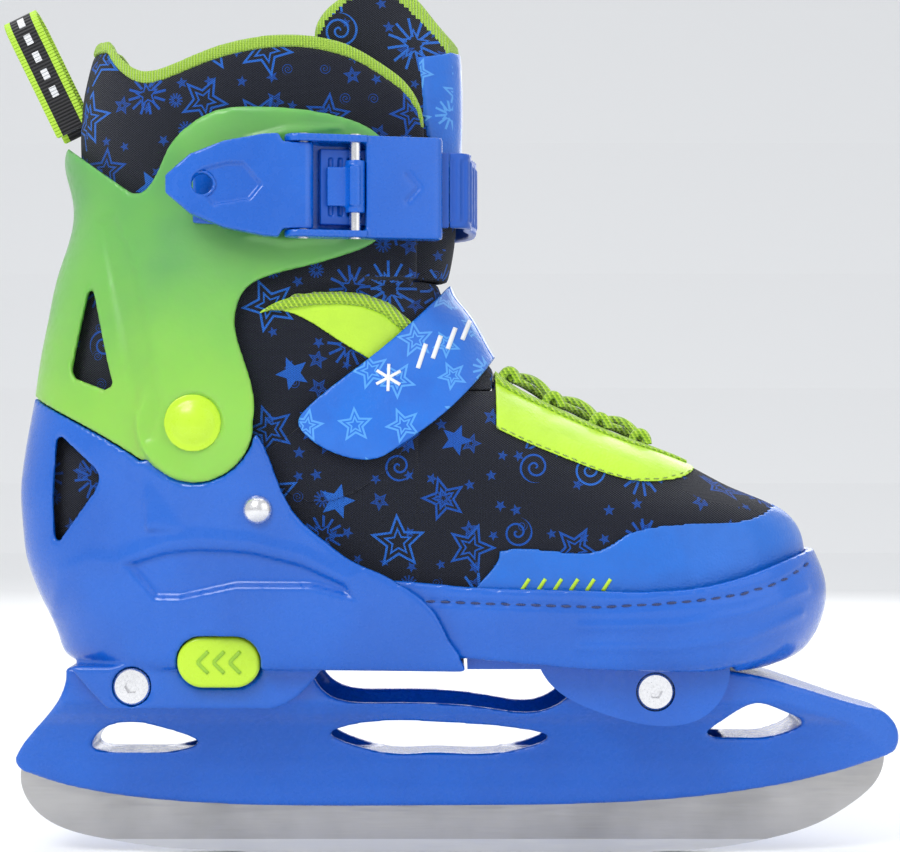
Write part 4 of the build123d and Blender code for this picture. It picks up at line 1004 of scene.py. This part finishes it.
@dataclass
class Buckle:
    """Ratchet buckle and its ladder strap."""

    diamond: Outline = ((-78, 213), (-74.5, 216), (-67, 218), (-62, 218), (-56, 211), (-60, 206),
                        (-71.5, 204), (-75, 208))
    fold: Outline = ((-13, 215.0), (-9.5, 211.0), (-13, 207.0))

    def build(self) -> None:
        """Round each moulding, sink the lever's field and dress the strap."""
        lever = remade("lever_moulding", ["buckle_lever"], 0.5, 2)
        carve(lever, [Recess(self.diamond, 1.2, 1.3)], 0.3, -1)
        finished(lever, BLUE, "lever")
        base = remade("buckle_body_moulding", ["buckle_base"], 0.55, 2)
        carve(base, [Ridge(self.fold, 0.6, 0.7)], 0.3, -1)
        finished(base, BLUE, CUFF)
        pawl = remade("pawl_moulding", ["buckle_pawl"], 0.4, 1)
        finished(pawl, BLUE, "pawl")
        tip = remade("strap_tip_moulding", ["ladder_strap_tip"], 0.4, 1)
        finished(tip, STRAP_BLUE, "ladder_tip")
        band = remade("strap_band_moulding", ["ladder_band"], 0.6, 1)
        self.ribbed(band)
        finished(band, STRAP_BLUE, "")
        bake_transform(band)
        anchor = remade("strap_anchor_moulding", ["strap_anchor"], 0.6, 2)
        finished(anchor, STRAP_BLUE, CUFF)
        for node in ("base_rivets", "lever_pin", "pawl_pin", "anchor_rivet"):
            dress_node(node, BOLT_STEEL)

    @staticmethod
    def ribbed(band: bpy.types.Object) -> None:
        """Raise rows of ribs across the strap: 0.35 mm times a square-edged sine of the arc length."""
        points, facing = read_points(band.data), normals(band.data)
        angle = np.arctan2(points[:, 1], points[:, 0] + 0.03)
        arc = angle * 0.037 / MM
        wave = np.clip(2.2 * np.sin(2 * math.pi * arc / 2.9), -1, 1)
        middle = np.abs(points[:, 2] - 0.211) < 0.0092
        out = smoothstep(facing[:, 0] * np.cos(angle) + facing[:, 1] * np.sin(angle), 0.3, 0.8)
        write_points(band.data, points + (0.35 * MM * wave * middle * out)[:, None] * facing)


@dataclass
class SoftBoot:
    """Padded boot: printed cloth, tongue, trims, straps and lacing."""

    tongue_rim: Outline = ((-42.5, 262.0), (-41.0, 266.0), (-34.1, 273.0), (-26.0, 276.5),
                           (-17.9, 276.5), (-9.8, 270.0), (-3.0, 263.5), (0.6, 259.6), (2.0, 254.0))
    arc: Outline = ((-57, 174), (-50, 176.0), (-42, 177.2), (-34, 177.6), (-27, 177.0),
                    (-20, 174.4), (-13, 168.5))
    edge: Outline = ((0.6, 144.8), (24, 133.6), (48.5, 123.8), (57, 121.6), (66, 121.6), (76, 123.8))

    def build(self) -> None:
        """Make each soft piece in turn."""
        self.boot()
        self.front()
        self.tongue()
        self.trims()
        self.straps()

    @staticmethod
    def plump(thing: bpy.types.Object, height: float, centre_z: float, reach: float, ripple: float) -> None:
        """Swell padding outward and let it ripple.

        The swell is a bell in height, and the ripple sums three slow sine waves of position.
        """
        points, facing = read_points(thing.data), normals(thing.data)
        x, y, z = (points / MM).T
        swell = height * np.exp(-((z - centre_z) / reach) ** 2)
        folds = np.sin(x / 7.1 + 0.6 * np.sin(z / 9.0)) * np.sin(z / 11.3 + y / 8.0)
        wave = folds + 0.6 * np.sin(z / 6.2 + x / 17.0)
        write_points(thing.data, points + ((swell + ripple * wave) * MM)[:, None] * facing)

    def boot(self) -> None:
        """Heel, ankle and collar as one padded piece."""
        nodes = ["liner_quarter", "liner_ankle", "ankle_gusset", "liner_collar"]
        boot = remade("boot_padding", nodes, 1.3, 5, 0.4)
        self.plump(boot, 0.55, 243.0, 12.0, 0.14)
        finished(boot, CLOTH, "")
        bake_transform(boot)
        piping = remade("collar_roll", ["collar_piping"], 0.7, 3, 0.45)
        finished(piping, LIME_CLOTH, CUFF)

    def front(self) -> None:
        """Cloth over the forefoot and the glossy toe cap."""
        vamp = remade("vamp_cloth", ["vamp", "stretch_panel"], 1.0, 4, 0.24)
        self.tuck(vamp)
        finished(vamp, CLOTH, "")
        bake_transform(vamp)
        cap = remade("toe_cap_leather", ["toe_cap"], 0.7, 2)
        self.taper(cap)
        finished(cap, BLUE_LEATHER, TOE)
        skin = Skin(cap)
        marks = [([(x, 87.3), (x + 2.4, 91.0)], 1.1) for x in (22.0, 27.0, 32.0, 37.0, 42.0, 47.0)]
        finished(Bars("toe_cap_dashes", skin, marks).build(), LIME, TOE)

    @staticmethod
    def tuck(vamp: bpy.types.Object) -> None:
        """Push the rear edge 1.8 mm back and 0.5 mm under the padding it meets."""
        points = read_points(vamp.data)
        share = 1 - smoothstep(points[:, 0] / MM, -8.6, -5.0)
        points[:, 0] -= 1.8 * MM * share
        points[:, 1] *= 1 - 0.013 * share
        write_points(vamp.data, points)

    @staticmethod
    def taper(cap: bpy.types.Object) -> None:
        """Draw the cap's rear edge back along the welt: most at the bottom, none at z = 98 mm."""
        points = read_points(cap.data)
        x, _, z = (points / MM).T
        share = (1 - smoothstep(x, 14.0, 34.0)) * (1 - smoothstep(z, 84.0, 98.5))
        points[:, 0] -= 9.0 * MM * share
        points[:, 1] *= 1 + 0.012 * share
        write_points(cap.data, points)

    def tongue(self) -> None:
        """Tongue and its label."""
        tongue = remade("tongue_padding", ["tongue_ankle", "tongue_upper"], 1.1, 4, 0.4)
        self.plump(tongue, 0.5, 255.0, 14.0, 0.12)
        finished(tongue, CLOTH, "")
        edged(tongue, LIME_CLOTH, lambda p: line_distance(p[:, (0, 2)] / MM, self.tongue_rim) < 2.6)
        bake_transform(tongue)
        low = remade("tongue_foot", ["tongue_lower"], 1.0, 3)
        finished(low, CLOTH, TOE)
        label = remade("tongue_patch", ["tongue_label"], 0.5, 2)
        finished(label, STAR_LEATHER, CUFF)

    def trims(self) -> None:
        """Lime eyestay, binding, laces and the ankle facing."""
        stay = remade("eyestay_leather", ["eyestay"], 0.5, 2)
        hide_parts("lace_loops")
        finished(stay, LIME_LEATHER, TOE)
        facing = remade("ankle_facing_leather", ["ankle_facing"], 0.5, 2)
        finished(facing, LIME_LEATHER, ROOT)
        finished(remade("throat_tape", ["throat_binding"], 0.5, 2, 0.25), LIME_TAPE, TOE)
        laces = Lacing("lace_crossings", 1.35).build()
        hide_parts("laces")
        finished(laces, LIME_TAPE, TOE)
        ankle_skin = Skin(facing)
        for side, name in ((-1, "outer"), (1, "inner")):
            band = Bars(f"ankle_tape_{name}", ankle_skin, [(self.arc, 3.4)], side, 1.0).build()
            finished(band, LIME_TAPE, ROOT)
        rows = [(self.edge, side) for side in (-1, 1)]
        thread = Stitching("eyestay_stitches", Skin(stay), rows, 3.0, 2.1, 0.24).build()
        finished(thread, LIME_THREAD, TOE)

    def straps(self) -> None:
        """Instep strap in its two halves, fleece patch and pull loop."""
        root = remade("instep_strap_fixed", ["instep_strap_root"], 0.6, 2)
        finished(root, STAR_LEATHER, ROOT)
        flap = remade("instep_strap_leather", ["instep_strap_flap"], 0.6, 2)
        finished(flap, STAR_LEATHER, "strap_flap")
        skin = Skin(flap)
        centre = (-19.0, 153.0)
        arms = [([(centre[0] - 4.2 * math.cos(a), centre[1] - 4.2 * math.sin(a)),
                  (centre[0] + 4.2 * math.cos(a), centre[1] + 4.2 * math.sin(a))], 0.9)
                for a in (0.5, 0.5 + math.pi / 3, 0.5 + 2 * math.pi / 3)]
        dashes = [([(-10.0 + 4.6 * k, 156.0 + 3.1 * k), (-7.6 + 4.6 * k, 163.6 + 2.7 * k)], 1.3)
                  for k in range(4)]
        finished(Bars("strap_marks", skin, arms + dashes).build(), WHITE_PRINT, "strap_flap")
        patch = remade("strap_backing", ["loop_patch"], 0.6, 2)
        finished(patch, CLOTH, ROOT)
        dress_node("insole", FOAM)
        loop = remade("pull_tape", ["pull_loop"], 0.5, 1)
        finished(loop, LOOP_TAPE, CUFF)


@dataclass
class SizeLatch:
    """Push button, its spring and the notched bar."""

    button: tuple[float, float] = (-72.0, 64.6)

    def build(self) -> None:
        """Round the button and raise two chevrons on it."""
        cap = remade("size_button_moulding", ["size_button"], 0.5, 2)
        finished(cap, LIME, "size_button")
        x, z = self.button
        marks = [([(x + k + 1.8, z + 3.4), (x + k - 1.6, z), (x + k + 1.8, z - 3.4)], 1.1)
                 for k in (-5.0, 0.0, 5.0)]
        chevrons = Bars("button_chevrons", Skin(cap), marks).build()
        finished(chevrons, DARK_LIME, "size_button")
        spring = Coil("button_coil", 0.3).build()
        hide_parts("button_spring")
        finished(spring, BOLT_STEEL, ROOT)
        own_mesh(spring)
        dress_node("size_rack", BLACK)


# ------------------------------------------------------------------ studio
@dataclass
class Studio:
    """Pale floor, soft lights and the camera."""

    eye: tuple[float, float, float] = (0.0, -0.75, 0.1381)
    lens: float = 92.3

    def build(self) -> None:
        """Make the stage."""
        self.floor()
        for lamp in (("key", (-0.5, -0.9, 0.9), 0.5, 6.5), ("fill", (0.8, -0.7, 0.5), 0.9, 1.6),
                     ("top", (0.0, 0.1, 1.1), 0.9, 2.6), ("rim", (0.1, 0.9, 0.6), 0.8, 4.0)):
            self.lamp(*lamp)
        bpy.context.scene.view_settings.view_transform = "Standard"
        world = bpy.data.worlds.new("studio")
        bpy.context.scene.world = world
        world.use_nodes = True
        back = world.node_tree.nodes["Background"]
        back.inputs[0].default_value = (0.97, 0.98, 1.0, 1.0)
        back.inputs[1].default_value = 0.78
        camera = bpy.data.cameras.new("camera")
        camera.lens = self.lens
        camera.sensor_width = 36.0
        camera.clip_start = 0.01
        holder = bpy.data.objects.new("camera", camera)
        bpy.context.scene.collection.objects.link(holder)
        holder.location = self.eye
        holder.rotation_euler = (math.pi / 2, 0.0, 0.0)
        bpy.context.scene.camera = holder

    @staticmethod
    def floor() -> None:
        """Level sheet just under the blade, curving up far behind: z = 0.9 s^2 past y = 0.9 m."""
        u, v = np.meshgrid(np.linspace(-4, 4, 9), np.linspace(-3, 4, 36))
        height = 0.5 * np.clip(v - 1.2, 0, None) ** 2 - 0.0002
        points = np.stack([u, v, height], -1).reshape(-1, 3)
        rows, columns = u.shape
        start = (np.arange(rows - 1)[:, None] * columns + np.arange(columns - 1)).ravel()
        faces = np.stack([start, start + 1, start + columns + 1, start + columns], 1)
        mesh = bpy.data.meshes.new("floor")
        mesh.from_pydata(points.tolist(), [], faces.tolist())
        floor = add("floor", mesh)
        g = Graph("pale_floor")
        g.set(Base_Color=(0.9, 0.91, 0.92), Roughness=0.7)
        mesh.materials.append(g.material)

    @staticmethod
    def lamp(name: str, at: tuple, size: float, power: float) -> None:
        """Square soft light that faces the skate."""
        light = bpy.data.lights.new(name, "AREA")
        light.size = size
        light.energy = power
        thing = bpy.data.objects.new(name, light)
        bpy.context.scene.collection.objects.link(thing)
        thing.location = at
        aim = Vector((0.0, 0.0, 0.12)) - Vector(at)
        thing.rotation_euler = aim.to_track_quat("-Z", "Y").to_euler()


def main() -> None:
    """Build the skate from the ice up, then the studio."""
    logging.basicConfig(level=logging.INFO, format="%(name)s %(message)s")
    for part in (Runner(), HeelCup(), ToeCup(), AnkleCuff(), Buckle(), SoftBoot(), SizeLatch(), Studio()):
        LOG.info("building %s", type(part).__name__)
        part.build()


if __name__ == "__main__":
    main()
